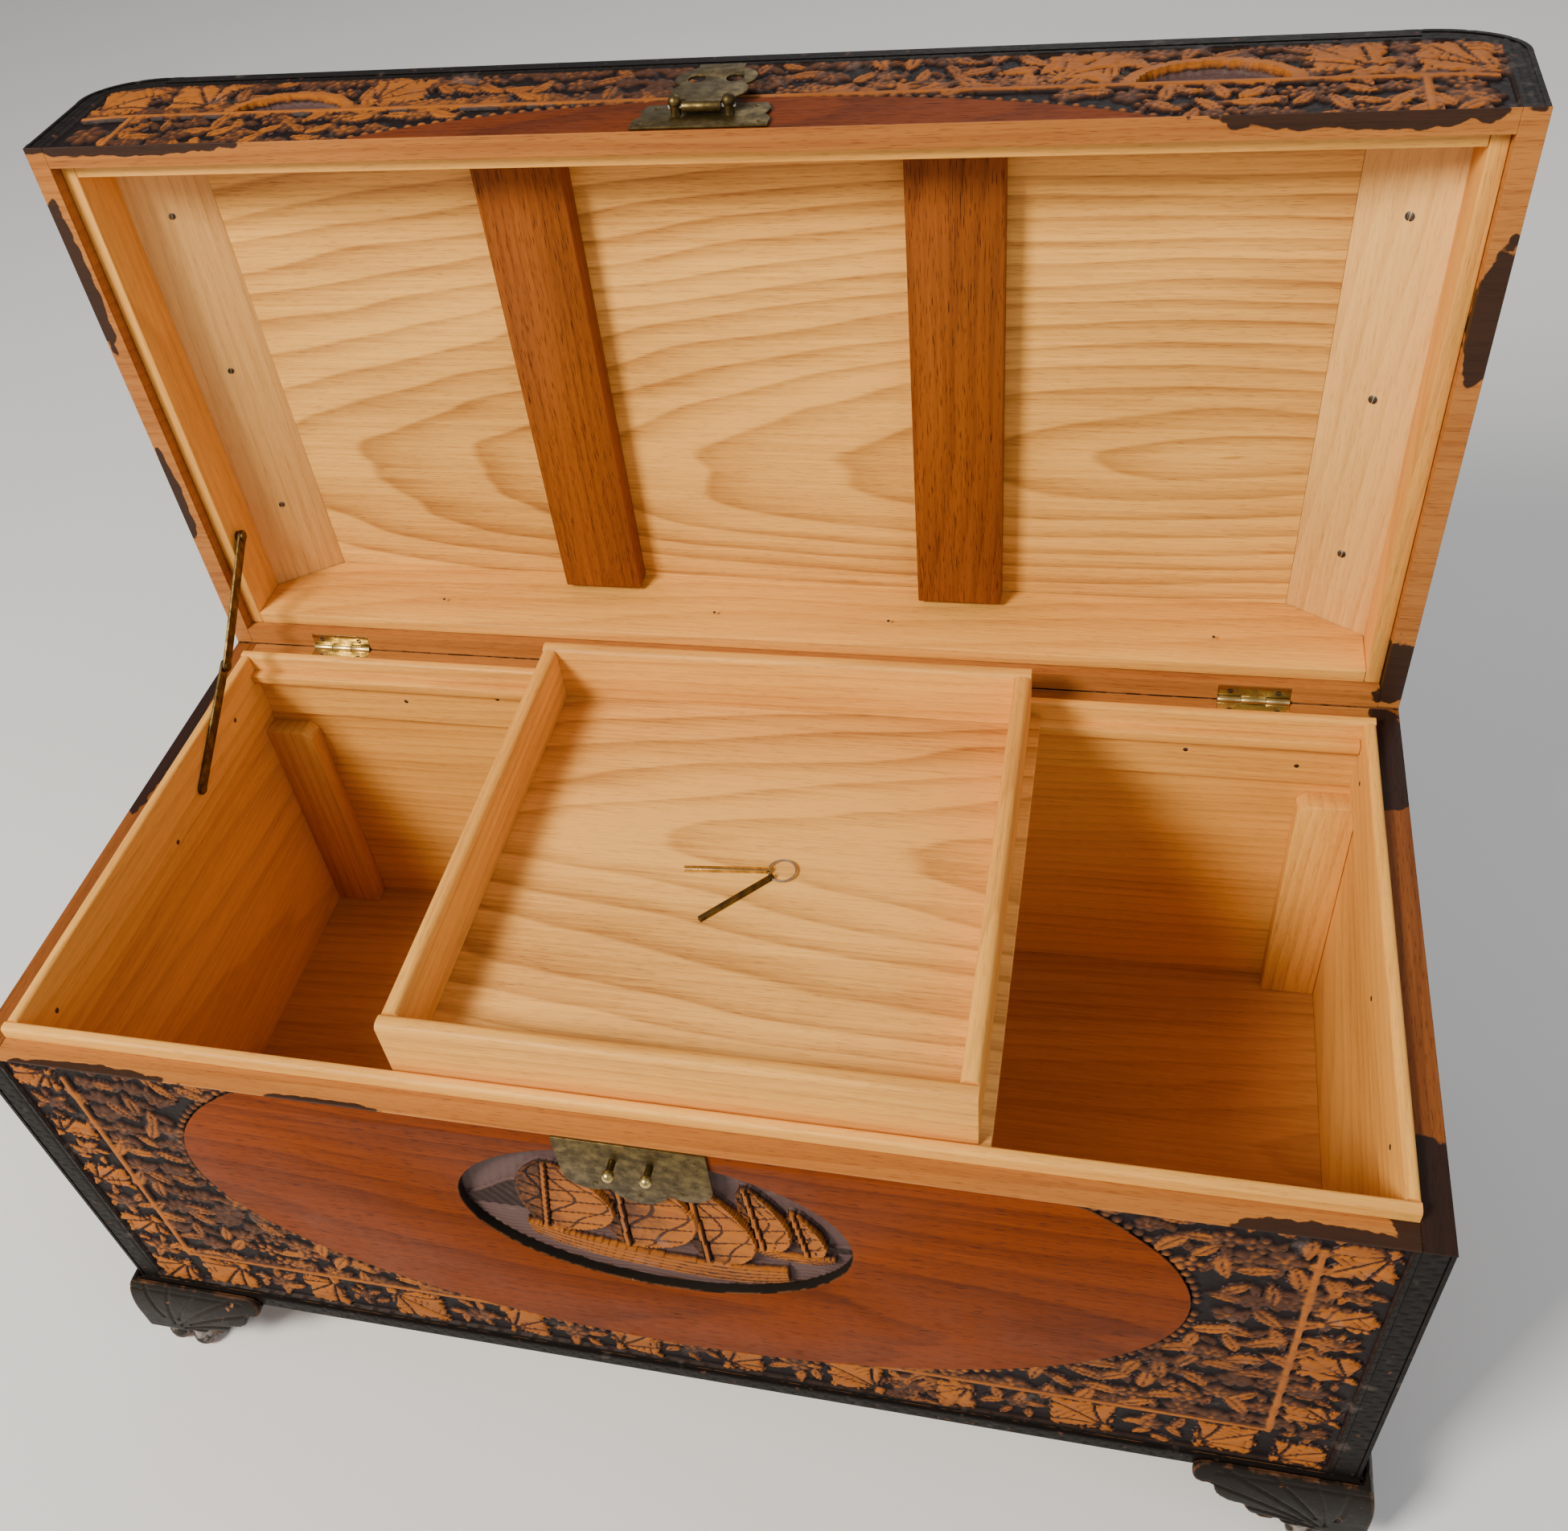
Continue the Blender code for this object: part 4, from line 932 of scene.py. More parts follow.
def end_of_chest(side, node):
    low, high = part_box(node)
    name = node.rsplit("_", 1)[1]
    top = rim - RIM_CAP
    outer = side * half_width
    skin = outer - side * SHEET_BACK
    inner = low.x if side > 0 else high.x
    at = Face((outer, chest_y, 0), (0, 0, 1), (side, 0, 0)).at
    relief = Relief((-half_depth, half_depth), (low.z, top), 0.0018)
    edge = half_depth - EDGE_BAND
    rods = (edge - 0.048,) * 3
    carved_panel(relief, END_FIELD, rods, 0.005, edge, base + FRONT_ROD_Z + 0.005, (7, 7), 20 + side)
    mesh = relief_mesh(f"end_carving_{name}", relief, at, ellipse=END_FIELD)
    new_piece(f"end_carving_{name}", mesh, carving, "chest_body", [node])
    plate = plate_mesh(f"end_oval_{name}", oval_outline(END_FIELD, highest=top), at)
    oval_piece(f"end_oval_{name}", plate, at, "chest_body", end_field_wood)
    x0, x1 = sorted((inner, skin))
    deep = half_depth - SHEET_BACK
    banded_edges(f"end_edge_{name}", (x0, front_y, low.z), (x1, back_y, top), ((1, -1), (1, 1)))
    core_low, core_high = (x0, chest_y - deep, low.z), (x1, chest_y + deep, top)
    block_piece(f"end_core_{name}", core_low, core_high, CAMPHOR["deep"])
    block_piece(f"end_rim_{name}", (low.x, low.y, top), high, side_rim, bevel=CAP_BEVEL)


def base_strips():
    """The black strips under the boards, with incised courses on their outer faces."""
    for node, ways in (
        ("base_strip_front", ((1, -1), (0, -1), (0, 1))),
        ("base_strip_back", ((1, 1), (0, -1), (0, 1))),
        ("base_strip_left", ((0, -1),)),
        ("base_strip_right", ((0, 1),)),
    ):
        low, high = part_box(node)
        banded_edges(node, low, high, ways)
        inside_low, inside_high = Vector(low), Vector(high)
        for axis, sign in ways:
            if sign > 0:
                inside_high[axis] -= SHEET_BACK
            else:
                inside_low[axis] += SHEET_BACK
        block_piece(
            f"{node}_core", inside_low, inside_high, paint, replaced=[node]
        )


def hollow(relief, ellipse):
    """Half an oval sunk deep into the carving above the lid's long rod, with a raised lip."""
    u, v = relief.grid
    far = ellipse_radius(u, v, ellipse)
    above = v > LID_ROD + ROD_HALF
    lip = above & (far < 1.22)
    relief.level = np.where(lip, np.maximum(relief.level, -0.0006), relief.level)
    relief.worn = np.where(lip, 1.0, relief.worn)
    inside = above & (far < 1)
    rough = 0.0008 * np.sin(u * 900) * np.sin(v * 1100)
    relief.level = np.where(inside, -HOLLOW_DEPTH + 0.0012 + rough, relief.level)
    relief.worn = np.where(inside, 0.9, relief.worn)


def lid_front_relief():
    random = np.random.RandomState(31)
    relief = Relief((-half_width, half_width), (RIM_CAP, lid_height), 0.0017)
    above = LID_ROD + ROD_HALF + 0.002
    board_top = lid_height - lid_wall

    def outside(u, v):
        return ellipse_radius(u, v, LID_FIELD) > 1.06

    foliage(relief, (-LID_ROD_X, LID_ROD_X), (0.006, LID_ROD), 0.019, outside, random)
    foliage(relief, (-0.475, 0.475), (above + 0.008, board_top), 0.020, everywhere, random)
    for side in (-1, 1):
        flower(relief, side * 0.461, 0.024, 0.017, 0.4 * side, 6)
        outer = sorted((side * 0.434, side * 0.480))
        leaf_block(relief, outer, (above, board_top - 0.003), 2.4 if side > 0 else 0.7, random)
        for near, far, turn in ((0.214, 0.262, 0.9), (0.372, 0.420, 2.2)):
            block = sorted((side * near, side * far))
            leaf_block(relief, block, (above + 0.004, board_top - 0.003), turn, random)
    for ellipse in LID_HOLLOWS:
        hollow(relief, ellipse)
    rod(relief, (-0.478, 0.478), around(LID_ROD))
    for side in (-1, 1):
        rod(relief, around(side * LID_ROD_X), (0.004, LID_ROD - ROD_HALF))
    bead_ring(relief, LID_FIELD, 0.0095, 0.0040)
    sides = half_width - lid_wall
    painted_band(relief, (-half_width, half_width), (board_top, lid_height))
    painted_band(relief, (-half_width, -sides), (RIM_CAP, lid_height))
    painted_band(relief, (sides, half_width), (RIM_CAP, lid_height))
    return relief


def under_shoulders(face):
    """Places on the lid's front, lowered near its ends to stay under the curve of the shoulders."""

    def at(u, v, w):
        out = np.clip((np.abs(u) - half_width + SHOULDER_ACROSS) / SHOULDER_ACROSS, 0, 1)
        drop = (lid_height - SHOULDER_FROM) * (1 - np.sqrt(1 - out**2))
        return face.at(u, v * (1 - drop / lid_height), w)

    return at


def shoulder_curve(inset, steps=14):
    """The lid's left shoulder this far inside its outer face, as (u, v) on the front of the lid."""
    across = SHOULDER_ACROSS - inset
    rise = lid_height - SHOULDER_FROM - inset
    middle = -half_width + SHOULDER_ACROSS
    angles = np.linspace(math.pi, math.pi / 2, steps)
    return [(middle + across * math.cos(a), SHOULDER_FROM + rise * math.sin(a)) for a in angles]


class Shoulder:
    """The outside of a bent end of the lid: v runs up its side and on over its shoulder."""

    def __init__(self, side):
        outline = np.array([(-half_width, RIM_CAP), *shoulder_curve(0, 60)])
        steps = np.diff(outline, axis=0)
        lengths = np.hypot(*steps.T)
        self.side = side
        self.outline = outline
        self.walked = np.concatenate([[0], np.cumsum(lengths)])
        ways = steps / lengths[:, None]
        ways = np.concatenate([ways[:1], (ways[1:] + ways[:-1]) / 2, ways[-1:]])
        self.out = np.stack([-ways[:, 1], ways[:, 0]], -1)
        self.length = self.walked[-1]

    def at(self, u, v, w):
        x, height = (np.interp(v, self.walked, self.outline[:, i]) for i in (0, 1))
        out_x, out_h = (np.interp(v, self.walked, self.out[:, i]) for i in (0, 1))
        x = -self.side * (x + w * out_x)
        return np.stack([x, lid_rim + height + w * out_h, lid_middle - self.side * np.asarray(u)], -1)


def front_of_lid():
    face = Face((0, lid_rim, lid_face), (0, 1, 0), (0, 0, 1))
    at = face.at
    sides = half_width - lid_wall
    back = -HOLLOW_DEPTH - 0.0006
    curved = under_shoulders(face)
    mesh = relief_mesh("lid_front_carving", lid_front_relief(), curved, ellipse=LID_FIELD, skirt=-back)
    new_piece("lid_front_carving", mesh, carving, "lid", ["lid_front"])
    oval = plate_mesh("lid_front_oval", oval_outline(LID_FIELD, lowest=RIM_CAP), at)
    oval_piece("lid_front_oval", oval, at, "lid", field_wood)
    left = [(-sides, RIM_CAP), *shoulder_curve(lid_wall)]
    outline = left + [(-u, v) for u, v in reversed(left)]
    core = plate_mesh("lid_front_core", outline, at, level=back - 0.0002, back=-lid_wall, bevel=0.0001)
    new_piece("lid_front_core", core, lid_rim_wood, "lid")
    low, high = (-sides, lid_rim, lid_face - lid_wall), (sides, lid_rim + RIM_CAP, lid_face)
    block_piece("lid_front_rim", low, high, lid_rim_wood, "lid", bevel=CAP_BEVEL)
    low, high = (-sides, high[1], lid_face + back), (sides, lid_rim + 0.005, lid_face - SHEET_BACK)
    block_piece("lid_front_band", low, high, lid_rim_wood, "lid")


def end_of_lid(side, node):
    """A bent end: a carved skin over a plain core, with an oiled edge."""
    name = node.rsplit("_", 1)[1]
    shell = Shoulder(side)
    random = np.random.RandomState(40 + side)
    relief = Relief((-half_depth, half_depth), (0, shell.length), 0.0018)
    edge = half_depth - EDGE_BAND
    foliage(relief, (-edge + 0.014, edge - 0.014), (0.020, 0.062), 0.021, everywhere, random)
    rod(relief, (-edge, edge), (0.008, 0.008 + 2 * ROD_HALF))
    rod(relief, (-edge, edge), (0.066, 0.066 + 2 * ROD_HALF))
    for u in (-edge, edge):
        rod(relief, around(u), (0.008, 0.072))
    for u_range in ((-half_depth, -edge - 0.004), (edge + 0.004, half_depth)):
        painted_band(relief, u_range, (0, shell.length))
    painted_band(relief, (-half_depth, half_depth), (0, 0.006))
    painted_band(relief, (-half_depth, half_depth), (0.075, shell.length), 0.03)
    mesh = relief_mesh(f"lid_end_carving_{name}", relief, shell.at)
    new_piece(f"lid_end_carving_{name}", mesh, carving, "lid", [node])
    outer = [(-half_width + SHEET_BACK, RIM_CAP), *shoulder_curve(SHEET_BACK)]
    inner = [(-half_width + lid_wall, RIM_CAP), *shoulder_curve(lid_wall)]
    outline = [(-side * u, v) for u, v in outer + inner[::-1]]
    at = Face((0, lid_rim, lid_face), (0, 1, 0), (0, 0, 1)).at
    level = -HOLLOW_DEPTH - 0.0008
    core = plate_mesh(f"lid_end_core_{name}", outline, at, level=level, back=-2 * half_depth, bevel=0.0001)
    piece = new_piece(f"lid_end_core_{name}", core, lid_rim_wood, "lid")
    piece.data.materials.append(paint)
    for polygon in piece.data.polygons:
        polygon.material_index = int(polygon.normal.z < -0.7)
    x0, x1 = sorted((side * (half_width - lid_wall), side * half_width))
    low, high = (x0, lid_rim, lid_face - 2 * half_depth), (x1, lid_rim + RIM_CAP, lid_face)
    block_piece(f"lid_end_rim_{name}", low, high, lid_rim_wood, "lid", bevel=CAP_BEVEL)


def top_of_lid():
    """The long top board, with its own oval, sail boats and black edges."""
    reach = half_width - SHOULDER_ACROSS
    at = Face((0, lid_rim + lid_height, lid_middle), (0, 0, -1), (0, 1, 0)).at
    random = np.random.RandomState(51)
    relief = Relief((-reach, reach), (-half_depth, half_depth), 0.0024)
    frame_u, frame_v = reach - 0.060, half_depth - 0.064
    inside_u, inside_v = frame_u - 0.012, frame_v - 0.012

    def outside(u, v):
        return ellipse_radius(u, v, TOP_FIELD) > 1.03

    foliage(relief, (-inside_u, inside_u), (-inside_v, inside_v), 0.024, outside, random)
    edge_u, edge_v = reach - 0.012, half_depth - 0.018
    for way in (-1, 1):
        band_v = sorted((way * (frame_v + 0.006), way * edge_v))
        band_u = sorted((way * (frame_u + 0.006), way * edge_u))
        block_band(relief, (-edge_u, edge_u), band_v, 17, random)
        block_band(relief, band_u, (-frame_v, frame_v), 7, random)
        rod(relief, (-frame_u, frame_u), around(way * frame_v))
        rod(relief, around(way * frame_u), (-frame_v, frame_v))
        painted_band(relief, (-reach, reach), sorted((way * (edge_v + 0.002), way * half_depth)))
        painted_band(relief, sorted((way * (edge_u + 0.002), way * reach)), (-half_depth, half_depth))
    bead_ring(relief, TOP_FIELD, 0.0095, 0.0040)
    depth = POCKET_DEPTH + 0.0005
    mesh = relief_mesh("lid_top_carving", relief, at, ellipse=TOP_FIELD, skirt=depth)
    new_piece("lid_top_carving", mesh, carving, "lid", ["lid_top"])
    boats_oval("lid_top", oval_outline(TOP_FIELD), TOP_POCKET, at, "lid", depth, depth)
    low = (-reach, lid_rim + lid_height - lid_wall, lid_face - 2 * half_depth)
    high = (reach, lid_rim + lid_height - depth - 0.0002, lid_face - HOLLOW_DEPTH - 0.0008)
    block_piece("lid_top_core", low, high, paint, "lid")


end_of_chest(-1, "end_board_left")
end_of_chest(1, "end_board_right")
base_strips()
front_of_lid()
end_of_lid(-1, "lid_end_left")
end_of_lid(1, "lid_end_right")
top_of_lid()


# --- Plain wood ------------------------------------------------------------------------------------


def rounded_board(node, material, radius, body):
    """A straight board whose two long top edges are rounded over."""
    low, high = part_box(node)
    shape = block_shape(low, high)
    long_axis = 0 if high.x - low.x > high.y - low.y else 1
    tops = []
    for edge in shape.edges:
        a, b = (vert.co for vert in edge.verts)
        if min(a.z, b.z) > high.z - 0.0001 and abs(a[long_axis] - b[long_axis]) > 0.01:
            tops.append(edge)
    bmesh.ops.bevel(shape, geom=tops, offset=radius, segments=4, profile=0.5, affect="EDGES")
    name = f"{node}_rounded"
    new_piece(name, finished(shape, name, 40), material, body, [node])


def plain_wood():
    pith = (lid_rim + 0.02, lid_middle - 0.07, 0.17, 0.02)
    broad = {"ring_width": 0.017, "wander": 0.05, "contrast": 0.62}
    ceiling = wood("camphor_ceiling", (0.92, 0.48, 0.10), (0.32, 0.110, 0.016), "X", pith, 9, **broad)
    cant = wood("camphor_cant", (0.88, 0.50, 0.15), (0.52, 0.23, 0.05), "Z", (0.3, 0.16, 0.03, 0.05), 10)
    pith = (0.05, 0.02, 0.02, 0.01)
    narrow = {"ring_width": 0.006, "flecks": 1.5}
    batten = wood("red_brown_batten", BATTEN_LIGHT, BATTEN_DARK, "Z", pith, 12, 0.42, 0.1, **narrow)
    pith = (chest_y + 0.03, rim - 0.09, 0.03, 0.14)
    broad = {"ring_width": 0.020, "wander": 0.06, "contrast": 0.55}
    tray_floor = wood("camphor_tray_floor", (0.92, 0.48, 0.11), (0.30, 0.100, 0.016), "X", pith, 13, **broad)
    pith = (chest_y, 0.0, 0.05, 0.03)
    # The bottom board's camphor is darker than the walls' camphor: painted shade on the chest's floor.
    floor = wood("camphor_floor_painted_shade", (0.62, 0.27, 0.06), (0.28, 0.09, 0.016), "X", pith, 14)
    dress("lid_ceiling_panel", ceiling)
    for side in ("left", "right"):
        dress(f"lid_canted_block_{side}", cant, 0.0006)
        dress(f"lid_lining_{side}", CAMPHOR["tall"], 0.0010)
        dress(f"lid_batten_{side}", batten, 0.0012)
        for end in ("front", "back"):
            dress(f"corner_post_{end}_{side}", CAMPHOR["tall"], 0.0010)
    for end in ("front", "back"):
        dress(f"lid_lining_{end}", CAMPHOR["long"], 0.0008)
        dress(f"tray_runner_{end}", CAMPHOR["long"], 0.0008)
        rounded_board(f"upper_rail_{end}", CAMPHOR["long"], 0.0030, "chest_body")
        rounded_board(f"tray_{end}", CAMPHOR["long"], 0.0045, "tray")
    for side in ("left", "right"):
        rounded_board(f"upper_rail_{side}", CAMPHOR["deep"], 0.0030, "chest_body")
        rounded_board(f"tray_{side}", CAMPHOR["deep"], 0.0045, "tray")
    dress("tray_bottom", tray_floor, 0.0008)
    dress("bottom_board", floor)
    dress_sides("back_board", CAMPHOR["long"], plain_stain, body_rim, (0, 1, 0), (0, 0, 1))
    dress_sides("lid_back", lid_rim_wood, plain_stain, lid_rim_wood, (0, 0, -1), (0, -1, 0))


def painted_shade_bead():
    """A thin black bead behind the back face, which closes the view through the joint under the lid and
    stands in for the shade in that joint.
    """
    low = (-half_width, back_y + 0.0002, rim - 0.002)
    high = (half_width, back_y + 0.0025, rim + 0.0004)
    # Its black paint is painted shade: it gives the dark line of the shaded joint under the lid.
    block_piece("painted_shade_bead", low, high, paint)


plain_wood()
painted_shade_bead()


# --- Feet ------------------------------------------------------------------------------------------


def foot_grooves(along, height):
    """Depth, 0 to 1, of the lines cut in a foot's wing: a fan of rays with bent ends and short strokes."""
    x, z = along - 0.014, height - 0.034
    far = np.hypot(x, z)
    angle = np.arctan2(z, x)
    cut = np.zeros_like(far)
    for i, way in enumerate((0.02, 0.22, 0.42, 0.62, 0.86, 1.12, 1.40, 1.75)):
        bend = way - (1.5 + 0.5 * (i % 3)) * np.clip(far - 0.035, 0, 1)
        line = np.exp(-((far * np.sin(angle - bend) / 0.0011) ** 2))
        starts = 0.010 + 0.012 * (i % 2)
        cut = np.maximum(cut, line * (far > starts) * (far < 0.105) * (np.cos(angle - bend) > 0))
    border = np.exp(-(((height - 0.098) / 0.0010) ** 2))
    return np.maximum(cut, 0.7 * border * (along < 0.10))


def softened_mesh(node):
    """A CAD node's mesh in the row frame, remeshed finely and with softer edges."""
    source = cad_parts[node]
    work = bpy.data.objects.new("foot_work", source.data.copy())
    work.matrix_world = source.matrix_world.copy()
    bpy.context.scene.collection.objects.link(work)
    fine = work.modifiers.new("fine", "REMESH")
    fine.mode = "VOXEL"
    fine.voxel_size = 0.0015
    soft = work.modifiers.new("soft", "SMOOTH")
    soft.iterations = 8
    bpy.context.view_layer.update()
    mesh = bpy.data.meshes.new_from_object(work.evaluated_get(bpy.context.evaluated_depsgraph_get()))
    mesh.transform(source.matrix_world)
    bpy.data.objects.remove(work, do_unlink=True)
    return mesh


def triples(items, key):
    values = np.empty(len(items) * 3)
    items.foreach_get(key, values)
    return values.reshape(-1, 3)


def foot_piece(node, side_x, side_y):
    """A foot's shape from its CAD node, softened, and cut with the lines of a shell."""
    mesh = softened_mesh(node)
    points = triples(mesh.vertices, "co")
    normals = triples(mesh.vertex_normals, "vector")
    inward_x = (points[:, 0] - side_x * half_width) * -side_x
    inward_y = (points[:, 1] - chest_y - side_y * half_depth) * -side_y
    rise = np.clip(points[:, 2] - FOOT_FULLEST, 0, None) / (base + 0.017 - FOOT_FULLEST)
    fullness = np.sqrt(np.clip(1 - rise**2, 0, 1))
    for axis, side, inward in ((0, side_x, inward_x), (1, side_y, inward_y)):
        proud = np.clip(-0.004 - inward, 0, None)
        points[:, axis] -= side * proud * (1 - fullness)
    on_front = np.clip(normals[:, 1] * side_y, 0, 1) ** 2 * foot_grooves(inward_x, points[:, 2])
    on_side = np.clip(normals[:, 0] * side_x, 0, 1) ** 2 * foot_grooves(inward_y, points[:, 2])
    points -= normals * (0.0016 * np.maximum(on_front, on_side))[:, None]
    slimmer = TOE_SLIMMING + (1 - TOE_SLIMMING) * np.clip((points[:, 2] - 0.024) / 0.010, 0, 1)
    centre_x = side_x * (half_width - TOE_FROM_CORNER)
    centre_y = chest_y + side_y * (half_depth - TOE_FROM_CORNER)
    for axis, centre in ((0, centre_x), (1, centre_y)):
        points[:, axis] = centre + (points[:, axis] - centre) * slimmer
    mesh.vertices.foreach_set("co", points.ravel())
    mesh.materials.clear()
    mesh.shade_smooth()
    new_piece(f"{node}_carved", mesh, paint, "chest_body", [node])


def claws_piece(node, side_x, side_y):
    """Three rounded claws under a foot, given as how far each is inside the chest's two faces."""
    shape = bmesh.new()
    for along, in_from in ((0.030, -0.004), (0.005, -0.002), (-0.004, 0.030)):
        x = side_x * (half_width - along)
        y = chest_y + side_y * (half_depth - in_from)
        place = Matrix.Translation((x, y, 0.0145)) @ Matrix.Diagonal((0.0105, 0.0105, 0.0145, 1))
        bmesh.ops.create_uvsphere(shape, u_segments=24, v_segments=16, radius=1, matrix=place)
    claws = finished(shape, f"{node}_claws")
    new_piece(f"{node}_claws", claws, worn_claw, "chest_body")


def claw_material():
    """Pale grey paint, rubbed to pink wood low down."""
    look = Look("worn_claws", 0.65, specular=0.2)
    parts = look.add("ShaderNodeSeparateXYZ", {0: look.place}).outputs
    patches = look.noise(look.place, 130.0, 4.0)
    low = look.between(look.math("ADD", parts[2], look.math("MULTIPLY", patches, 0.012)), 0.018, 0.010)
    colour = look.mix(look.between(patches, 0.42, 0.66), (0.030, 0.024, 0.020), (0.27, 0.23, 0.205))
    look.set("Base Color", look.mix(low, colour, (0.26, 0.125, 0.080)))
    look.bump(patches, 0.0006)
    return look.material


worn_claw = claw_material()
for end, way_y in (("front", -1), ("back", 1)):
    for hand, way_x in (("left", -1), ("right", 1)):
        foot_piece(f"foot_{end}_{hand}", way_x, way_y)
        claws_piece(f"foot_{end}_{hand}", way_x, way_y)


# --- Metal -----------------------------------------------------------------------------------------


def dome(shape, centre, out, radius, height, slot_way=None):
    """A low domed head standing on a face, in two halves when it has a slot."""
    out = Vector(out).normalized()
    across = Vector(slot_way).normalized() if slot_way else out.orthogonal().normalized()
    other = out.cross(across)
    gap = 0.16 * radius if slot_way else -radius
    start = math.asin(gap / radius) if slot_way else 0.0
    sweep = math.pi - 2 * start if slot_way else math.tau
    count = 10 if slot_way else 18
    for half in (1, -1) if slot_way else (1,):
        rings = []
        for size, level in ((1.0, -0.3), (1.0, 0.25), (0.80, 0.75), (0.45, 1.0)):
            ring = []
            for i in range(count + bool(slot_way)):
                angle = start + sweep * i / count
                side = max(gap, radius * size * math.sin(angle))
                place = Vector(centre) + across * (radius * size * math.cos(angle))
                ring.append(shape.verts.new(place + other * side * half + out * height * level))
            rings.append(ring)
        for below, above in zip(rings, rings[1:]):
            for i in range(len(below)):
                j = (i + 1) % len(below)
                shape.faces.new((below[i], below[j], above[j], above[i]))
        shape.faces.new(rings[-1])
        shape.faces.new(rings[0][::-1])


def heads(name, places, material, body, bulge=0.28):
    """Screw or nail heads given as (centre, out, radius, slot way or None)."""
    shape = bmesh.new()
    for centre, out, radius, slot_way in places:
        dome(shape, centre, out, radius, bulge * radius, slot_way)
    bmesh.ops.recalc_face_normals(shape, faces=shape.faces)
    new_piece(name, finished(shape, name, 45), material, body)


def rail_screws():
    """Screws and nails in the rails inside the chest."""
    rail_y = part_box("upper_rail_back")[0].y
    rail_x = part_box("upper_rail_left")[1].x
    nails = []
    at_left = ((-0.40, 0.020), (-0.33, 0.034), (-0.24, 0.024))
    at_right = ((0.30, 0.020), (0.345, 0.030), (0.40, 0.018), (0.43, 0.040))
    for x, drop in at_left + at_right:
        nails.append(((x, rail_y, rim - drop), (0, -1, 0), 0.0020, (1, 0, 0.6)))
    for y, drop in ((-0.17, 0.022), (0.02, 0.040), (0.15, 0.020)):
        nails.append(((rail_x, chest_y + y, rim - drop), (1, 0, 0), 0.0022, (0, 1, 0.4)))
        nails.append(((-rail_x, chest_y - y, rim - drop), (-1, 0, 0), 0.0020, (0, 1, 0.4)))
    heads("rail_screws", nails, screw_metal, "chest_body")


def lid_screws():
    """Screws in the lid's canted end blocks and nails in its rear lining."""
    lining_low, lining_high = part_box("lid_lining_right")
    ceiling_low, ceiling_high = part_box("lid_ceiling_panel")
    start = Vector((lining_low.x, lining_high.y, 0))
    end = Vector((ceiling_high.x, ceiling_low.y, 0))
    out = Vector((-(end.y - start.y), -(start.x - end.x), 0)).normalized()
    middle = start.lerp(end, 0.45)
    screws = []
    for up in (-0.135, 0.0, 0.135):
        screws.append(((middle.x, middle.y, lid_middle + up), out, 0.0032, (0.2, 0.1, 1)))
        at_left = (-middle.x, middle.y, lid_middle + up + 0.012)
        screws.append((at_left, (-out.x, out.y, 0), 0.0026, (0.2, 0.1, 1)))
    low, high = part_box("lid_lining_back")
    nail_y, nail_z = (low.y + high.y) / 2 - 0.008, high.z - 0.0022
    screws += [((x, nail_y, nail_z), (0, -0.15, 1), 0.0014, (1, 0, 0)) for x in (-0.30, -0.05, 0.10, 0.36)]
    heads("lid_screws", screws, screw_metal, "lid")


def hinge_screws():
    """Two countersunk screws in each hinge leaf."""
    for hand in ("left", "right"):
        low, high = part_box(f"hinge_body_leaf_{hand}")
        screws_x = [(low.x + high.x) / 2 + x for x in (-0.018, 0.018)]
        lid_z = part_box(f"hinge_lid_leaf_{hand}")[1].z - 0.0055
        on_body = [((x, low.y + 0.0062, rim), (0, 0, 1), 0.0024, (1, 0.3, 0)) for x in screws_x]
        on_lid = [((x, lid_rim, lid_z), (0, -1, 0), 0.0024, (1, 0, 0.3)) for x in screws_x]
        heads(f"hinge_body_screws_{hand}", on_body, screw_metal, "chest_body", 0.07)
        heads(f"hinge_lid_screws_{hand}", on_lid, screw_metal, "lid", 0.07)


def staple_tips():
    """Rounder, brighter ends on the two staples."""
    shape = bmesh.new()
    for name in ("left", "right"):
        low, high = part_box(f"lock_staple_{name}")
        place = Matrix.Translation(((low.x + high.x) / 2, low.y + 0.0042, (low.z + high.z) / 2))
        bmesh.ops.create_uvsphere(shape, u_segments=20, v_segments=12, radius=0.0044, matrix=place)
    tips = finished(shape, "staple_tips")
    new_piece("staple_tips", tips, brass_light, "chest_body")


def metal():
    """Materials of the fittings, and the pins that hold their plates."""
    for node in ("lock_plate", "hasp_plate", "hasp_flap"):
        dress(node, brass_dark, 0.0003)
    for node in ("lock_staple_left", "lock_staple_right", "stay_lower_bar", "stay_upper_bar"):
        dress(node, brass_dark, 0.0002)
    for side in ("left", "right"):
        dress(f"hinge_body_leaf_{side}", brass_light, 0.0002)
        dress(f"hinge_lid_leaf_{side}", brass_light, 0.0002)
        dress(f"hinge_pin_{side}", steel)
    dress("hasp_pin", steel)
    dress("key_one", brass_light, 0.0003)
    dress("key_two", brass_dark, 0.0003)
    dress("key_ring", steel)
    low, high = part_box("lock_plate")
    corners = ((-0.044, 0.010), (0.044, 0.010), (-0.030, 0.052), (0.030, 0.052), (0.0, 0.062))
    pins = [((x, low.y, high.z - drop), (0, -1, 0), 0.0019, None) for x, drop in corners]
    heads("plate_pins", pins, brass_dark, "chest_body")
    face = lid_face + 0.0018
    corners = ((-0.040, 0.007), (0.040, 0.007), (-0.034, 0.031), (0.034, 0.031))
    pins = [((x, lid_rim + up, face), (0, 0, 1), 0.0017, None) for x, up in corners]
    heads("hasp_pins", pins, brass_dark, "lid")


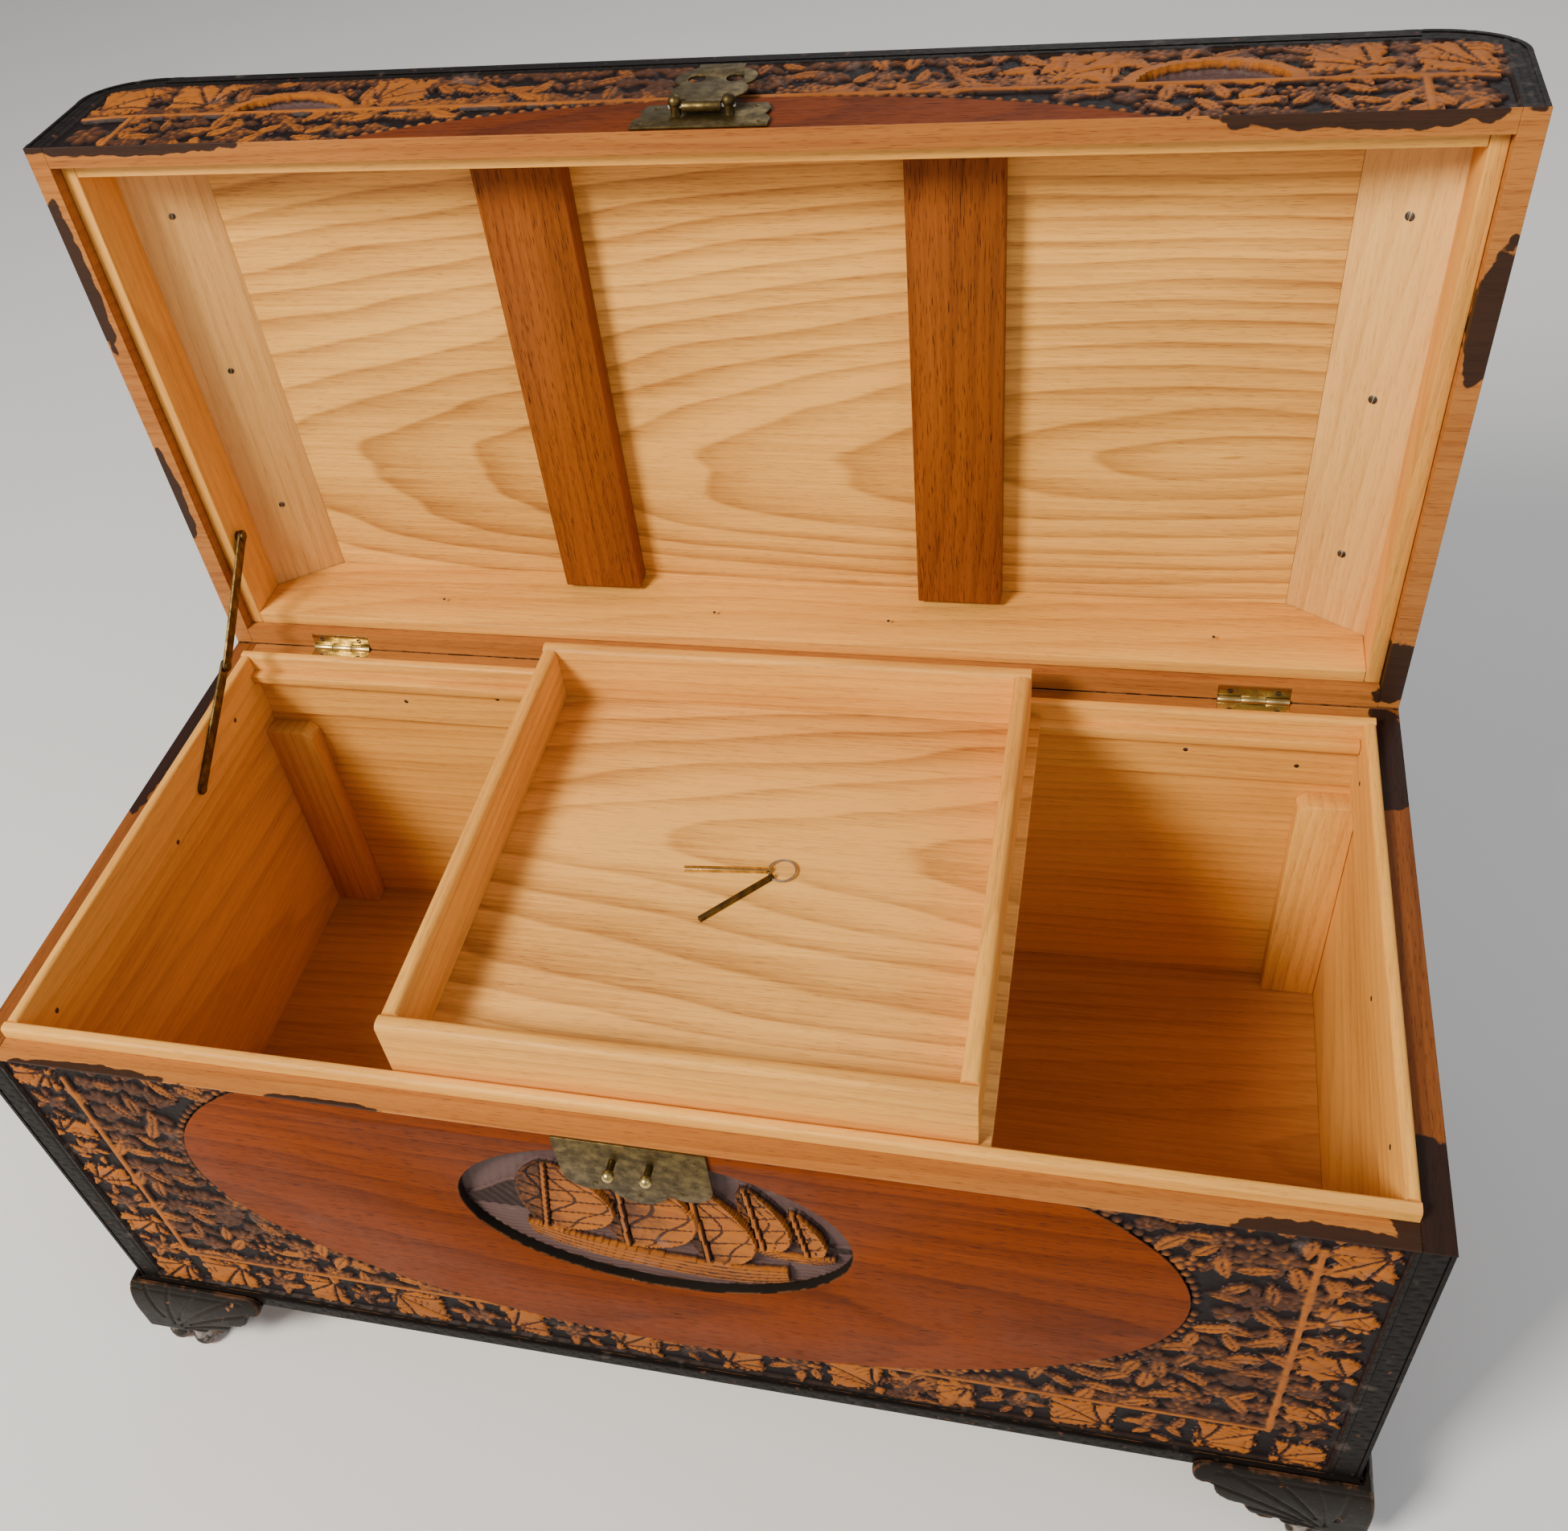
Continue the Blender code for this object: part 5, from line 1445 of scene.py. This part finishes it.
rail_screws()
lid_screws()
hinge_screws()
staple_tips()
metal()


# --- Camera, light and floor -----------------------------------------------------------------------


def linked(name, data):
    item = bpy.data.objects.new(name, data)
    bpy.context.scene.collection.objects.link(item)
    return item


def camera_view():
    """The camera, in front of the chest's left half and above it."""
    camera_data = bpy.data.cameras.new("camera")
    camera_data.lens = 35.83
    camera_data.shift_x = 0.0449
    camera_data.shift_y = 0.0109
    camera_data.clip_start = 0.05
    camera = linked("camera", camera_data)
    camera.location = (0.2796, chest_y - 0.7304, base + 1.2173)
    camera.rotation_euler = (0.7833, 0.1205, 0.2223)
    bpy.context.scene.camera = camera


def pale_floor():
    floor = bpy.data.meshes.new("floor")
    size = 14
    corners = [(-size, -size, 0), (size, -size, 0), (size, size, 0), (-size, size, 0)]
    floor.from_pydata(corners, [], [(0, 1, 2, 3)])
    look = Look("pale_floor", 0.75)
    tone = look.noise(look.place, 3.0, 5.0)
    look.set("Base Color", look.mix(tone, (0.80, 0.80, 0.79), (0.76, 0.76, 0.75)))
    floor.materials.append(look.material)
    linked("floor", floor)


def soft_light():
    """Three soft lamps and a dim sky."""
    lamps = (
        ("key", (-1.7, -2.2, 3.0), 1.0, 212, (1.0, 0.93, 0.82)),
        ("fill", (2.6, -1.8, 2.2), 2.4, 26, (0.94, 0.96, 1.0)),
        ("back", (0.4, 2.8, 2.8), 2.0, 30, (1.0, 0.98, 0.95)),
    )
    for name, place, width, power, colour in lamps:
        lamp_data = bpy.data.lights.new(name, "AREA")
        lamp_data.size = width
        lamp_data.energy = power
        lamp_data.color = colour
        lamp = linked(name, lamp_data)
        lamp.location = place
        lamp.rotation_euler = (Vector((0, 0, 0.4)) - Vector(place)).to_track_quat("-Z", "Y").to_euler()

    world = bpy.data.worlds.new("studio")
    world.use_nodes = True
    background = world.node_tree.nodes["Background"]
    background.inputs["Color"].default_value = (0.95, 0.97, 1.0, 1)
    background.inputs["Strength"].default_value = 0.35
    bpy.context.scene.world = world


camera_view()
pale_floor()
soft_light()
